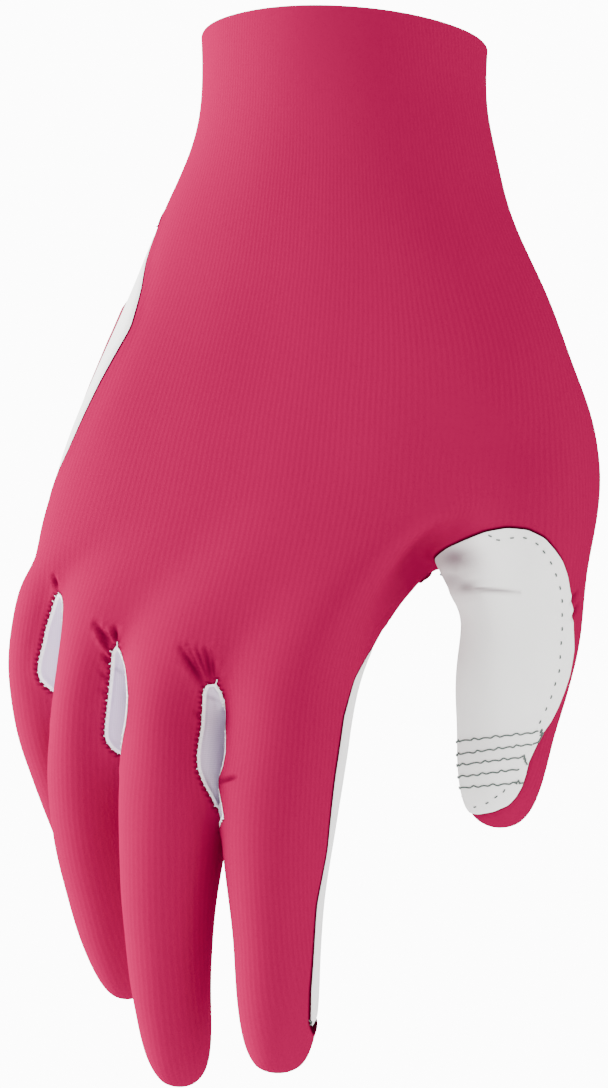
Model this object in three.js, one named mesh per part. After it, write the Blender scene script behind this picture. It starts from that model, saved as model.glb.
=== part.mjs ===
// A right-hand motocross glove of thin knit and microfibre, in the shape that a relaxed hand gives
// it: the cuff on top, the fingers hanging down and the thumb beside the first finger.
// Millimetres. The origin is the middle of the cuff's mouth and +Z points up out of the mouth.
// The back of the hand faces -Y and the thumb is on the +X side.
//
// The glove is one skin, drawn as a coarse cage of four-sided faces that one round of smoothing
// rounds off. Each panel is a part of that skin, given a wall and drawn back a little at its seams.
import * as THREE from 'three';

// Cloth thicknesses and the gap left at each seam
const knitWall = 1.0;
const palmWall = 1.2;
const meshWall = 1.0;
const padWall = 1.2;
const seamGap = 0.32;

// Smoothing draws a ring of n cage points in to this share of its size, so rings are drawn larger.
const smoothedShare = (n) => (2 + Math.cos((2 * Math.PI) / n)) / 3;

// The hand, from the cuff's mouth to the roots of the fingers. ulnar and radial are the middles of
// the little-finger side and the thumb side; back and palm are how far the two faces bulge out from
// the line between them; square is 2 for an oval and more for a boxy section; hollow dents the
// middle of the palm; seam is how far the seam lies round on the back from the little-finger side;
// lean drops the palm side of the section towards the fingers.
const handRows = [
  { name: 'rim', ulnar: [-33.0, 0, 5.5], radial: [32.8, 0, -1.4],
    back: 24.8, palm: 24, square: 2.0, hollow: 0, seam: 0, lean: 3.5 },
  { name: 'hem', ulnar: [-32.2, 0, -6.5], radial: [31.8, 0, -15.5],
    back: 23.8, palm: 23.3, square: 2.0, hollow: 0, seam: 0, lean: 2 },
  { name: 'wrist', ulnar: [-34.8, 0, -20.5], radial: [34.4, 1, -28.5],
    back: 22.8, palm: 22.8, square: 2.1, hollow: 0, seam: 5, lean: 0 },
  { name: 'heel', ulnar: [-44.6, -1, -37.0], radial: [36.8, 2, -42.0],
    back: 21.5, palm: 21.5, square: 2.2, hollow: 1, seam: 11, lean: 0 },
  { name: 'lower_palm', ulnar: [-51.0, -2, -53.5], radial: [45.5, 4, -60.0],
    back: 19.5, palm: 21, square: 2.3, hollow: 3, seam: 16, lean: 0 },
  { name: 'mid_palm', ulnar: [-60.0, -1, -70.5], radial: [51.0, 7, -77.0],
    back: 18.5, palm: 20, square: 2.3, hollow: 5, seam: 16, lean: 2 },
  { name: 'thumb_top', ulnar: [-69.5, 0, -86.0], radial: [53.5, 9, -89.0],
    back: 18.3, palm: 17, square: 2.4, hollow: 5, seam: 13, lean: 3 },
  { name: 'thumb_mid', ulnar: [-73.5, 1, -97.0], radial: [36.0, 4.5, -96.5],
    back: 16.8, palm: 14, square: 2.5, hollow: 4, seam: 7, lean: 4 },
  { name: 'thumb_web', ulnar: [-75.5, 2, -108.5], radial: [18.0, 3, -112.5],
    back: 15.5, palm: 13, square: 2.7, hollow: 2, seam: 2, lean: 5 },
];

// The twenty columns of cage points round the hand: the seam, nine over the back, the thumb side and
// nine home across the palm. The shares say how far round the back, from the seam to the thumb side,
// each of the nine lies. The palm's nine lie opposite.
const columns = 20;
const seamColumn = 0;
const backEdge = 9;
const sideColumn = 10;
const palmEdge = 11;
const columnShares = [0.075, 0.165, 0.26, 0.36, 0.465, 0.58, 0.7, 0.82, 0.925];

// The eight points where the thumb grows out of the hand, in order from its outer edge under the
// palm to the web and over the back of the hand, and the eight of the seam below them where the
// white thumb panel starts.
const thumbRoot = [
  { column: 'outer', at: [53.5, 17, -90.0] },
  { column: 'outer_palm', at: [50.0, 28, -94.0] },
  { column: 'palm', at: [35.0, 28, -102.5] },
  { column: 'web_palm', at: [14.5, 18.5, -111.0] },
  { column: 'web', at: [4.5, 9.5, -113.5] },
  { column: 'web_back', at: [19.0, -6.6, -110.5] },
  { column: 'back', at: [43.0, -3.4, -99.0] },
  { column: 'outer_back', at: [53.0, 4, -93.0] },
];
const thumbSeam = [
  { column: 'outer', at: [50.3, 17.8, -112.0] },
  { column: 'outer_palm', at: [46.8, 30.2, -112.5] },
  { column: 'palm', at: [33.8, 31.3, -113.5] },
  { column: 'web_palm', at: [21.0, 21.5, -114.5] },
  { column: 'web', at: [12.5, 9.5, -111.0] },
  { column: 'web_back', at: [30.5, -4.8, -108.8] },
  { column: 'back', at: [43.0, -2.4, -106.6] },
  { column: 'outer_back', at: [48.8, 6.6, -119.5] },
];

// The fingers and the thumb, from root to tip. centre is the middle of each section; wide and thick
// are its real size; lean shears it so that its palm side lies further towards the tip; turn is
// which way its back faces, in degrees round Z from -Y towards +X.
const fingers = {
  little: [
    { centre: [-72.3, 5, -115.5], wide: 17.5, thick: 20, lean: 9, turn: -14 },
    { centre: [-76.2, 7.5, -125.0], wide: 16.5, thick: 18.5, lean: 9, turn: -28 },
    { centre: [-78.2, 10.5, -132.8], wide: 17.5, thick: 18, lean: 11, turn: -36 },
    { centre: [-79.6, 17, -143.0], wide: 17.5, thick: 17.5, lean: 7, turn: -36 },
    { centre: [-80.0, 24, -151.5], wide: 17, thick: 17, lean: 2, turn: -36 },
    { centre: [-80.0, 31, -160.0], wide: 15.5, thick: 15.5, lean: 0, turn: -36 },
    { centre: [-81.5, 37.5, -168.0], wide: 13, thick: 12.5, lean: 0, turn: -36 },
    { centre: [-82.0, 41, -172.5], wide: 8, thick: 7.5, lean: 0, turn: -36 },
  ],
  ring: [
    { centre: [-57.5, -1, -125.5], wide: 20.5, thick: 23, lean: 10, turn: -6 },
    { centre: [-59.6, 1, -137.0], wide: 18, thick: 20.5, lean: 11, turn: -10 },
    { centre: [-63.1, 4.3, -147.2], wide: 19, thick: 20, lean: 13, turn: -10 },
    { centre: [-66.2, 9.5, -158.0], wide: 20, thick: 20, lean: 9, turn: -10 },
    { centre: [-67.4, 15, -169.5], wide: 19.5, thick: 19, lean: 3, turn: -10 },
    { centre: [-68.4, 21.5, -180.5], wide: 18.5, thick: 17.5, lean: 1, turn: -10 },
    { centre: [-68.8, 28.5, -191.0], wide: 16.5, thick: 15.5, lean: 0, turn: -10 },
    { centre: [-69.2, 33.5, -198.0], wide: 13, thick: 12, lean: 0, turn: -10 },
    { centre: [-69.3, 36, -201.3], wide: 8, thick: 7.5, lean: 0, turn: -10 },
  ],
  middle: [
    { centre: [-37.5, -4, -137.0], wide: 23.5, thick: 25, lean: 10, turn: 4 },
    { centre: [-38.8, -4, -147.5], wide: 22, thick: 22.5, lean: 11, turn: 8 },
    { centre: [-39.5, -3.7, -157.5], wide: 22.5, thick: 22, lean: 12, turn: 8 },
    { centre: [-40.3, -2.2, -168.0], wide: 23, thick: 22, lean: 13, turn: 8 },
    { centre: [-42.8, 1.8, -181.5], wide: 21.3, thick: 20.3, lean: 6, turn: 8 },
    { centre: [-46.4, 8.5, -196.0], wide: 18.8, thick: 18.5, lean: 1, turn: 8 },
    { centre: [-48.7, 16, -208.5], wide: 17, thick: 16.5, lean: 0, turn: 8 },
    { centre: [-50.2, 22, -218.0], wide: 14.5, thick: 13.5, lean: 0, turn: 8 },
    { centre: [-50.9, 25, -222.4], wide: 9, thick: 8.5, lean: 0, turn: 8 },
  ],
  index: [
    { centre: [-11.0, -2, -138.0], wide: 27, thick: 26, lean: 5, turn: 16 },
    { centre: [-12.2, -2, -150.0], wide: 27, thick: 24.5, lean: 7, turn: -4 },
    { centre: [-13.8, -1.5, -161.0], wide: 26, thick: 23, lean: 8, turn: -10 },
    { centre: [-15.5, -0.5, -173.5], wide: 23.6, thick: 22, lean: 5, turn: -13 },
    { centre: [-17.2, 1.5, -186.5], wide: 21.2, thick: 20, lean: 2, turn: -14 },
    { centre: [-18.4, 4.5, -199.0], wide: 18.5, thick: 18, lean: 0, turn: -14 },
    { centre: [-20.0, 8, -210.5], wide: 17.2, thick: 16.5, lean: 0, turn: -14 },
    { centre: [-20.8, 10.5, -218.0], wide: 15, thick: 14, lean: 0, turn: -12 },
    { centre: [-21.2, 11.8, -222.2], wide: 9.5, thick: 9, lean: 0, turn: -8 },
  ],
};
const thumb = [
  { centre: [34.0, 18.5, -127.5], wide: 26.5, thick: 26, lean: 0, turn: 127 },
  { centre: [31.2, 19.5, -137.0], wide: 25.5, thick: 24.5, lean: 0, turn: 138 },
  { centre: [29.4, 20, -146.0], wide: 23, thick: 23, lean: 0, turn: 134 },
  { centre: [28.2, 20.5, -155.5], wide: 21, thick: 20.5, lean: 0, turn: 105 },
  { centre: [26.9, 21, -163.0], wide: 18.5, thick: 18, lean: 0, turn: 97 },
  { centre: [26.2, 21, -168.0], wide: 15, thick: 14.5, lean: 0, turn: 92 },
  { centre: [26.0, 21, -171.0], wide: 9, thick: 8.5, lean: 0, turn: 92 },
];

// The webs between the fingers: the point of each at the back of the hand and at the palm
const webs = [
  { between: ['little', 'ring'], back: [-65.5, -6.5, -113.5], palm: [-66.0, 10, -123.0] },
  { between: ['ring', 'middle'], back: [-49.0, -11.5, -129.5], palm: [-49.0, 9, -137.0] },
  { between: ['middle', 'index'], back: [-24.5, -14.5, -141.5], palm: [-25.0, 8.5, -147.0] },
];
// How far the middle of a web lies below the line between its two points
const webSag = 1.5;

// Where the eight columns of cage points lie round a finger, in degrees from the middle of its back
// towards the thumb side. On the thumb its pink back is the two strips beside its first column.
const fingerAngles = [0, 45, 90, 135, 180, 225, 270, 315];
const thumbAngles = [0, 62, 105, 146, 186, 228, 270, 315];

// How far past the last section the cap of a finger bulges
const capBulge = 1.6;

// How many bands of the skin, counted from a finger's root, each mesh gusset takes, and how many the
// pink tips take, counted from the end
const gussetBands = { fourchette_ring_little: 2, fourchette_middle_ring: 2, fourchette_index_middle: 3 };
const tipBands = 2;
const thumbTipBands = 1;

const panels = {
  back_panel: { wall: knitWall, colour: 0xd04268, roughness: 0.75 },
  cuff_underside: { wall: knitWall, colour: 0xc23a60, roughness: 0.75 },
  palm_panel: { wall: palmWall, colour: 0xe4e3e1, roughness: 0.85 },
  thumb_panel: { wall: palmWall, colour: 0xe9e8e6, roughness: 0.85 },
  fourchette_index_middle: { wall: meshWall, colour: 0xd6d0de, roughness: 0.8 },
  fourchette_middle_ring: { wall: meshWall, colour: 0xd0cada, roughness: 0.8 },
  fourchette_ring_little: { wall: meshWall, colour: 0xcac4d6, roughness: 0.8 },
};

// The cage: points with names and four-sided faces, each with its panel
const cage = { points: [], faces: [] };

function addPoint(position) {
  cage.points.push(position.clone());
  return cage.points.length - 1;
}

function addFace(panel, place, ...corners) {
  cage.faces.push({ panel, place, corners });
}

const vector = (list) => new THREE.Vector3(...list);

// The closed outline of one section of the hand as a dense loop, from the little-finger side over
// the back to the thumb side and home across the palm
const outlineSteps = 240;
const hollowHalfWidth = 0.45;
function sectionOutline(row) {
  const ulnar = vector(row.ulnar);
  const radial = vector(row.radial);
  const middle = ulnar.clone().add(radial).multiplyScalar(0.5);
  const across = radial.clone().sub(ulnar).multiplyScalar(0.5 / smoothedShare(columns));
  const downHand = new THREE.Vector3(across.z, 0, -across.x).normalize();
  const outward = new THREE.Vector3().crossVectors(downHand, across).normalize();
  const power = 2 / row.square;
  const loop = [];
  for (let step = 0; step < outlineSteps; step += 1) {
    const turn = (2 * Math.PI * step) / outlineSteps;
    const side = -Math.sign(Math.cos(turn)) * Math.abs(Math.cos(turn)) ** power;
    const rise = Math.sign(Math.sin(turn)) * Math.abs(Math.sin(turn)) ** power;
    const dent = rise < 0 ? row.hollow * Math.exp(-((side / hollowHalfWidth) ** 2)) : 0;
    const height = (rise > 0 ? row.back : row.palm) / smoothedShare(columns);
    const drop = row.lean * (0.5 - 0.5 * rise);
    loop.push(middle.clone()
      .addScaledVector(across, side)
      .addScaledVector(outward, rise * height + dent)
      .addScaledVector(downHand, drop));
  }
  return loop;
}

// The cage points of a section, column by column
function sectionPoints(row) {
  const loop = sectionOutline(row);
  const half = loop.length / 2;
  const along = (from, to, share) => {
    const direction = Math.sign(to - from);
    const lengths = [0];
    for (let step = from; step !== to; step += direction) {
      const here = loop[(step + loop.length) % loop.length];
      const next = loop[(step + direction + loop.length) % loop.length];
      lengths.push(lengths[lengths.length - 1] + here.distanceTo(next));
    }
    const goal = share * lengths[lengths.length - 1];
    const reached = lengths.findIndex((length) => length >= goal);
    return loop[(from + direction * reached + loop.length) % loop.length].clone();
  };
  let seamStep = 0;
  let walked = 0;
  while (walked < row.seam) {
    walked += loop[seamStep].distanceTo(loop[seamStep + 1]);
    seamStep += 1;
  }
  const back = columnShares.map((share) => along(seamStep, half, share));
  const palm = columnShares.map((share) => along(seamStep, half - loop.length, share));
  return [loop[seamStep].clone(), ...back, loop[half].clone(), ...palm.reverse()];
}

// The eight points round one section of a finger, from the middle of its back towards the thumb
function ringPoints(rows, index, angles) {
  const row = rows[index];
  const before = vector(rows[Math.max(index - 1, 0)].centre);
  const after = vector(rows[Math.min(index + 1, rows.length - 1)].centre);
  const downFinger = after.sub(before).normalize();
  const angle = THREE.MathUtils.degToRad(row.turn);
  const back = new THREE.Vector3(Math.sin(angle), -Math.cos(angle), 0);
  back.addScaledVector(downFinger, -back.dot(downFinger)).normalize();
  const side = new THREE.Vector3().crossVectors(back, downFinger).normalize();
  const grow = 0.5 / smoothedShare(8);
  const points = [];
  for (const degrees of angles) {
    const turn = THREE.MathUtils.degToRad(degrees);
    points.push(vector(row.centre)
      .addScaledVector(back, Math.cos(turn) * row.thick * grow)
      .addScaledVector(side, Math.sin(turn) * row.wide * grow)
      .addScaledVector(downFinger, row.lean * (0.5 - 0.5 * Math.cos(turn)) - row.lean * 0.25));
  }
  return points;
}

const middleOf = (...points) => {
  const sum = new THREE.Vector3();
  for (const point of points) sum.add(point);
  return sum.divideScalar(points.length);
};

// Bands of faces down a finger and the four faces that close its tip
function addFinger(name, rootRing, rows, firstRow, panelOf) {
  let upper = rootRing;
  for (let index = firstRow; index < rows.length; index += 1) {
    const lower = ringPoints(rows, index, name === 'thumb' ? thumbAngles : fingerAngles).map(addPoint);
    const band = index - firstRow;
    const bandsLeft = rows.length - index;
    for (let step = 0; step < 8; step += 1) {
      const next = (step + 1) % 8;
      const place = { part: name, band, step };
      addFace(panelOf(step, band, bandsLeft), place, upper[step], lower[step], lower[next], upper[next]);
    }
    upper = lower;
  }
  const last = vector(rows[rows.length - 1].centre);
  const previous = vector(rows[rows.length - 2].centre);
  const tip = addPoint(last.clone().addScaledVector(last.clone().sub(previous).normalize(), capBulge));
  for (let step = 0; step < 8; step += 2) {
    const place = { part: name, band: rows.length, step };
    addFace('back_panel', place, tip, upper[(step + 2) % 8], upper[step + 1], upper[step]);
  }
}

// The panel of each of the eight strips round a finger. Strips 7 and 0 are its back, 3 and 4 its
// front, 1 and 2 the side towards the thumb, 5 and 6 the side towards the little finger.
function fingerPanel(gussetOnThumbSide, gussetOnLittleSide) {
  return (step, band, bandsLeft) => {
    const gusset = (step === 1 || step === 2) ? gussetOnThumbSide : gussetOnLittleSide;
    const side = [1, 2, 5, 6].includes(step);
    if (bandsLeft <= tipBands) return 'back_panel';
    if (side && gusset && band < gussetBands[gusset]) return gusset;
    if (step === 3 || step === 4) return 'palm_panel';
    if (step === 2 && !gussetOnThumbSide) return 'palm_panel';
    if (step === 5 && !gussetOnLittleSide) return 'palm_panel';
    return 'back_panel';
  };
}

function thumbPanel(step, band, bandsLeft) {
  if (bandsLeft <= thumbTipBands) return 'back_panel';
  return step >= 1 && step <= 6 ? 'thumb_panel' : 'back_panel';
}

// The roots of the fingers: neighbours share the points of the web between them.
const order = ['little', 'ring', 'middle', 'index'];
const rootPositions = {};
for (const name of order) rootPositions[name] = ringPoints(fingers[name], 0, fingerAngles);
for (const { between: [near, far], back, palm } of webs) {
  const backPoint = vector(back);
  const palmPoint = vector(palm);
  const sidePoint = middleOf(backPoint, palmPoint).setZ((back[2] + palm[2]) / 2 - webSag);
  rootPositions[near].splice(1, 3, backPoint, sidePoint, palmPoint);
  rootPositions[far].splice(5, 3, palmPoint, sidePoint, backPoint);
}
const placed = new Map();
const placeOnce = (position) => {
  if (!placed.has(position)) placed.set(position, addPoint(position));
  return placed.get(position);
};
const roots = Object.fromEntries(order.map((name) => [name, rootPositions[name].map(placeOnce)]));
const webRow = [
  roots.little[6],
  roots.little[7], roots.little[0],
  roots.ring[7], roots.ring[0],
  roots.middle[7], roots.middle[0],
  roots.index[7], roots.index[0],
  roots.index[1],
  roots.index[2],
  roots.index[3], roots.index[4],
  roots.index[5], roots.middle[4],
  roots.middle[5], roots.ring[4],
  roots.ring[5], roots.little[4],
  roots.little[5],
];

// The hand's bands, with the opening where the thumb grows out
const rows = handRows.map((row) => sectionPoints(row));
const thumbRootIds = thumbRoot.map((entry) => addPoint(vector(entry.at)));
const thumbSeamIds = thumbSeam.map((entry) => addPoint(vector(entry.at)));
const topRow = handRows.findIndex((row) => row.name === 'thumb_top');
const heelRow = handRows.findIndex((row) => row.name === 'heel');
const rowIds = rows.map((row) => row.map(() => -1));
const thumbPlaces = [
  [topRow, sideColumn, 0], [topRow, palmEdge, 1], [topRow + 1, palmEdge, 2], [topRow + 2, palmEdge, 3],
  [topRow + 2, sideColumn, 4], [topRow + 2, backEdge, 5], [topRow + 1, backEdge, 6], [topRow, backEdge, 7],
];
for (const [row, column, step] of thumbPlaces) rowIds[row][column] = thumbRootIds[step];
for (let row = 0; row < rows.length; row += 1) {
  for (let column = 0; column < columns; column += 1) {
    const isThumbHole = row === topRow + 1 && column === sideColumn;
    if (rowIds[row][column] < 0 && !isThumbHole) rowIds[row][column] = addPoint(rows[row][column]);
  }
}
rowIds.push(webRow);

function handPanel(band, column) {
  if (column >= seamColumn && column <= sideColumn) return 'back_panel';
  return band < heelRow ? 'cuff_underside' : 'palm_panel';
}

for (let band = 0; band < rowIds.length - 1; band += 1) {
  for (let column = 0; column < columns; column += 1) {
    const next = (column + 1) % columns;
    const besideThumb = band === topRow || band === topRow + 1;
    const isThumbHole = besideThumb && (column === backEdge || column === sideColumn);
    if (isThumbHole) continue;
    const place = { part: 'hand', band, step: column };
    const upper = rowIds[band];
    const lower = rowIds[band + 1];
    const corners = [upper[column], lower[column], lower[next], upper[next]];
    addFace(handPanel(band, column), place, ...corners);
  }
}

// The thumb: a band of the hand's own cloth down to the seam, then the rings of the thumb
for (let step = 0; step < 8; step += 1) {
  const next = (step + 1) % 8;
  const panel = step === 1 || step === 2 ? 'palm_panel' : 'back_panel';
  const place = { part: 'thumb_root', band: 0, step };
  addFace(panel, place, thumbRootIds[step], thumbSeamIds[step], thumbSeamIds[next], thumbRootIds[next]);
}
addFinger('thumb', thumbSeamIds, thumb, 0, thumbPanel);

addFinger('little', roots.little, fingers.little, 1, fingerPanel('fourchette_ring_little', null));
addFinger('ring', roots.ring, fingers.ring, 1,
  fingerPanel('fourchette_middle_ring', 'fourchette_ring_little'));
addFinger('middle', roots.middle, fingers.middle, 1,
  fingerPanel('fourchette_index_middle', 'fourchette_middle_ring'));
addFinger('index', roots.index, fingers.index, 1, fingerPanel(null, 'fourchette_index_middle'));

// One round of Catmull-Clark smoothing. Each face becomes four, one at each of its corners.
function smooth(mesh) {
  const edges = new Map();
  const edgeKey = (a, b) => (a < b ? `${a},${b}` : `${b},${a}`);
  const facePoints = mesh.faces.map((face) => middleOf(...face.corners.map((corner) => mesh.points[corner])));
  const aroundPoint = mesh.points.map(() => ({ faces: [], edges: [] }));
  mesh.faces.forEach((face, faceIndex) => {
    face.corners.forEach((corner, place) => {
      const next = face.corners[(place + 1) % 4];
      const key = edgeKey(corner, next);
      if (!edges.has(key)) {
        edges.set(key, { ends: [corner, next], faces: [] });
        aroundPoint[corner].edges.push(key);
        aroundPoint[next].edges.push(key);
      }
      edges.get(key).faces.push(faceIndex);
      aroundPoint[corner].faces.push(faceIndex);
    });
  });
  const middleOfEdge = (edge) => middleOf(...edge.ends.map((end) => mesh.points[end]));
  const points = mesh.points.map((point, index) => {
    const around = aroundPoint[index];
    const openEdges = around.edges.map((key) => edges.get(key)).filter((edge) => edge.faces.length === 1);
    if (openEdges.length > 0) {
      return middleOf(...openEdges.map(middleOfEdge)).add(point).multiplyScalar(0.5);
    }
    const count = around.faces.length;
    const faceMiddle = middleOf(...around.faces.map((face) => facePoints[face]));
    const edgeMiddle = middleOf(...around.edges.map((key) => middleOfEdge(edges.get(key))));
    return faceMiddle.addScaledVector(edgeMiddle, 2).addScaledVector(point, count - 3).divideScalar(count);
  });
  const edgePoints = new Map();
  for (const [key, edge] of edges) {
    const ends = edge.ends.map((end) => mesh.points[end]);
    const position = edge.faces.length === 2
      ? middleOf(...ends, ...edge.faces.map((face) => facePoints[face]))
      : middleOf(...ends);
    edgePoints.set(key, points.push(position) - 1);
  }
  const faces = [];
  mesh.faces.forEach((face, faceIndex) => {
    const centre = points.push(facePoints[faceIndex]) - 1;
    face.corners.forEach((corner, place) => {
      const next = face.corners[(place + 1) % 4];
      const previous = face.corners[(place + 3) % 4];
      const after = edgePoints.get(edgeKey(corner, next));
      const before = edgePoints.get(edgeKey(previous, corner));
      const corners = [corner, after, centre, before];
      faces.push({ panel: face.panel, place: { ...face.place, corner: place }, corners });
    });
  });
  return { points, faces };
}

// Draws the lines between two panels smooth: each point of a line is moved along the skin towards
// the middle of its two neighbours on that line. The points of narrow corners, whose two sides lie
// within about 75 degrees (the cosine below), stay sharp.
const narrowPoint = 0.25;
const seamRounds = 2;
function relaxSeams(mesh, normals, rounds) {
  const sides = new Map();
  for (const face of mesh.faces) {
    face.corners.forEach((corner, place) => {
      const next = face.corners[(place + 1) % 4];
      sides.set(`${corner},${next}`, face.panel);
    });
  }
  const neighbours = new Map();
  for (const [key, panel] of sides) {
    const [corner, next] = key.split(',').map(Number);
    const other = sides.get(`${next},${corner}`);
    if (other === panel) continue;
    if (!neighbours.has(corner)) neighbours.set(corner, []);
    neighbours.get(corner).push({ next, open: other === undefined });
  }
  for (let round = 0; round < rounds; round += 1) {
    const moves = [];
    for (const [corner, around] of neighbours) {
      if (around.length !== 2 || around.some((one) => one.open)) continue;
      const ways = around.map((one) => mesh.points[one.next].clone().sub(mesh.points[corner]).normalize());
      if (ways[0].dot(ways[1]) > narrowPoint) continue;
      const middle = middleOf(...around.map((one) => mesh.points[one.next]));
      const move = middle.sub(mesh.points[corner]).multiplyScalar(0.5);
      move.addScaledVector(normals[corner], -move.dot(normals[corner]));
      moves.push([corner, move]);
    }
    for (const [corner, move] of moves) mesh.points[corner].add(move);
  }
}

function pointNormals(mesh) {
  const normals = mesh.points.map(() => new THREE.Vector3());
  for (const face of mesh.faces) {
    const [a, b, c, d] = face.corners.map((corner) => mesh.points[corner]);
    const normal = new THREE.Vector3().crossVectors(c.clone().sub(a), d.clone().sub(b));
    for (const corner of face.corners) normals[corner].add(normal);
  }
  return normals.map((normal) => normal.normalize());
}

// At a seam's corner the wall is drawn back further, up to the corner that this limit stands for.
const sharpestCorner = 0.3;

// A closed solid from some faces of the skin: an outer and an inner wall, set off from the skin by
// the two distances, joined along the edges and drawn back from them by half a seam gap.
function wallGeometry(mesh, normals, faces, outerOffset, innerOffset, gap) {
  const neighbours = new Map();
  for (const face of faces) {
    face.corners.forEach((corner, place) => {
      neighbours.set(`${corner},${face.corners[(place + 1) % 4]}`, face);
    });
  }
  const borders = [];
  const inward = new Map();
  for (const face of faces) {
    face.corners.forEach((corner, place) => {
      const next = face.corners[(place + 1) % 4];
      if (neighbours.has(`${next},${corner}`)) return;
      borders.push([corner, next]);
      const along = mesh.points[next].clone().sub(mesh.points[corner]);
      for (const end of [corner, next]) {
        const pull = new THREE.Vector3().crossVectors(normals[end], along).normalize();
        if (!inward.has(end)) inward.set(end, []);
        inward.get(end).push(pull);
      }
    });
  }
  const positions = [];
  const ids = new Map();
  const wallPoint = (corner) => {
    if (!ids.has(corner)) {
      const normal = normals[corner];
      const point = mesh.points[corner].clone();
      const pulls = inward.get(corner) ?? [];
      if (pulls.length === 2) {
        const pull = middleOf(...pulls);
        point.addScaledVector(pull, gap / 2 / Math.max(pull.lengthSq(), sharpestCorner));
      }
      ids.set(corner, positions.length / 3);
      positions.push(...point.clone().addScaledVector(normal, outerOffset).toArray());
      positions.push(...point.clone().addScaledVector(normal, innerOffset).toArray());
    }
    return ids.get(corner);
  };
  const triangles = [];
  for (const face of faces) {
    const [a, b, c, d] = face.corners.map(wallPoint);
    triangles.push(a, b, c, a, c, d);
    triangles.push(a + 1, c + 1, b + 1, a + 1, d + 1, c + 1);
  }
  // Both sides of a seam are split along the same diagonal, so that they stay the gap apart.
  for (const [from, to] of borders) {
    const a = wallPoint(from);
    const b = wallPoint(to);
    if (from < to) triangles.push(b, a, a + 1, b, a + 1, b + 1);
    else triangles.push(b, a, b + 1, a, a + 1, b + 1);
  }
  const geometry = new THREE.BufferGeometry();
  geometry.setAttribute('position', new THREE.Float32BufferAttribute(positions, 3));
  geometry.setIndex(triangles);
  geometry.computeVertexNormals();
  return geometry;
}

// The heel pad: a patch of the palm beside the little-finger edge, on the outside of the palm panel
const padGap = 0.3;
const padColour = 0xc23a60;
const padRoughness = 0.7;
const padColumns = { first: 16, last: 18 };
function isHeelPad(face) {
  const { part, band, step, corner } = face.place;
  if (part !== 'hand' || step < padColumns.first || step > padColumns.last) return false;
  const upperHalf = corner === 0 || corner === 3;
  return band === heelRow + 1 || (band === heelRow + 2 && upperHalf);
}

// On the thumb side of the first finger's root the seam moves half a column nearer the back.
const rootBand = handRows.length - 1;
const skin = smooth(cage);
for (const face of skin.faces) {
  const { part, band, step, corner } = face.place;
  const lowerHalf = corner === 1 || corner === 2;
  if (part === 'hand' && band === rootBand && step === sideColumn && lowerHalf) face.panel = 'palm_panel';
}
relaxSeams(skin, pointNormals(skin), seamRounds);
const normals = pointNormals(skin);
const glove = new THREE.Group();

function addMesh(name, geometry, colour, roughness) {
  const material = new THREE.MeshStandardMaterial({ color: colour, roughness, metalness: 0 });
  const mesh = new THREE.Mesh(geometry, material);
  mesh.name = name;
  glove.add(mesh);
}

for (const [name, panel] of Object.entries(panels)) {
  const faces = skin.faces.filter((face) => face.panel === name);
  addMesh(name, wallGeometry(skin, normals, faces, 0, -panel.wall, seamGap), panel.colour, panel.roughness);
}
const padFaces = skin.faces.filter(isHeelPad);
const pad = wallGeometry(skin, normals, padFaces, padGap + padWall, padGap, 0);
addMesh('heel_pad', pad, padColour, padRoughness);

export default glove;
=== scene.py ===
# %% [markdown]
# # A knit riding glove
# The real glove is cut from a few pieces of thin cloth: pink rib knit for the back and the cuff,
# white synthetic suede for the palm and the thumb, and white mesh between the fingers. It is shown
# filled out, as when it is worn, with the fingers down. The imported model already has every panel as
# a thin wall in the right place, so it is loaded first and everything here is fitted to it.

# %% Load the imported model
import math
import random

import bmesh
import bpy
import numpy as np
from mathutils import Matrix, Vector, kdtree
from mathutils.bvhtree import BVHTree


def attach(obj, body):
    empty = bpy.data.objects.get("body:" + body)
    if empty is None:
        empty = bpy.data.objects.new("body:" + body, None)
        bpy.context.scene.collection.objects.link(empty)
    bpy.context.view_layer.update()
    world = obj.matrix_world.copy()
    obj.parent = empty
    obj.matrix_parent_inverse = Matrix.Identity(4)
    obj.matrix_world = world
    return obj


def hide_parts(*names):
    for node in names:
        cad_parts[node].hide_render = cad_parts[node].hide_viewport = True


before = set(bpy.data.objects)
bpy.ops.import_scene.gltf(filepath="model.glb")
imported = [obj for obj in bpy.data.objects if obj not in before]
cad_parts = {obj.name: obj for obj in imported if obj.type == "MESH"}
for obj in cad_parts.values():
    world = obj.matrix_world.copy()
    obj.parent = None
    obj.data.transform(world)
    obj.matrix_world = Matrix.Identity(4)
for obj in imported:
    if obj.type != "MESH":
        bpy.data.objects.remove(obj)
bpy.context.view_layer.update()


# %% [markdown]
# ## The camera
# The camera comes first, because every later choice is judged through it. The photograph looks at
# the back of the glove from a little below and from the thumb's side. A long lens keeps the fingers
# from spreading, as in the picture.

# %% Place the camera
MM = 0.001
view_turn = math.radians(25)
view_lift = math.radians(-12)
focal_mm = 141.52
sensor_mm = 36
sight_end = 20
cuff_in_view = Vector((9.0, 109.2, 940.0)) * MM

towards_viewer = Vector((math.sin(view_turn) * math.cos(view_lift),
                         -math.cos(view_turn) * math.cos(view_lift),
                         math.sin(view_lift)))
view_right = Vector((math.cos(view_turn), math.sin(view_turn), 0))
view_up = towards_viewer.cross(view_right)
camera_place = -(view_right * cuff_in_view.x + view_up * cuff_in_view.y
                 - towards_viewer * cuff_in_view.z)

bpy.ops.object.select_all(action="DESELECT")
bpy.ops.object.camera_add(location=camera_place)
camera = bpy.context.object
camera.name = "camera"
camera.rotation_euler = towards_viewer.to_track_quat("Z", "Y").to_euler()
camera.data.lens = focal_mm
camera.data.sensor_width = sensor_mm
camera.data.clip_end = sight_end
bpy.context.scene.camera = camera
print("camera at", [round(v, 3) for v in camera_place])

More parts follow.
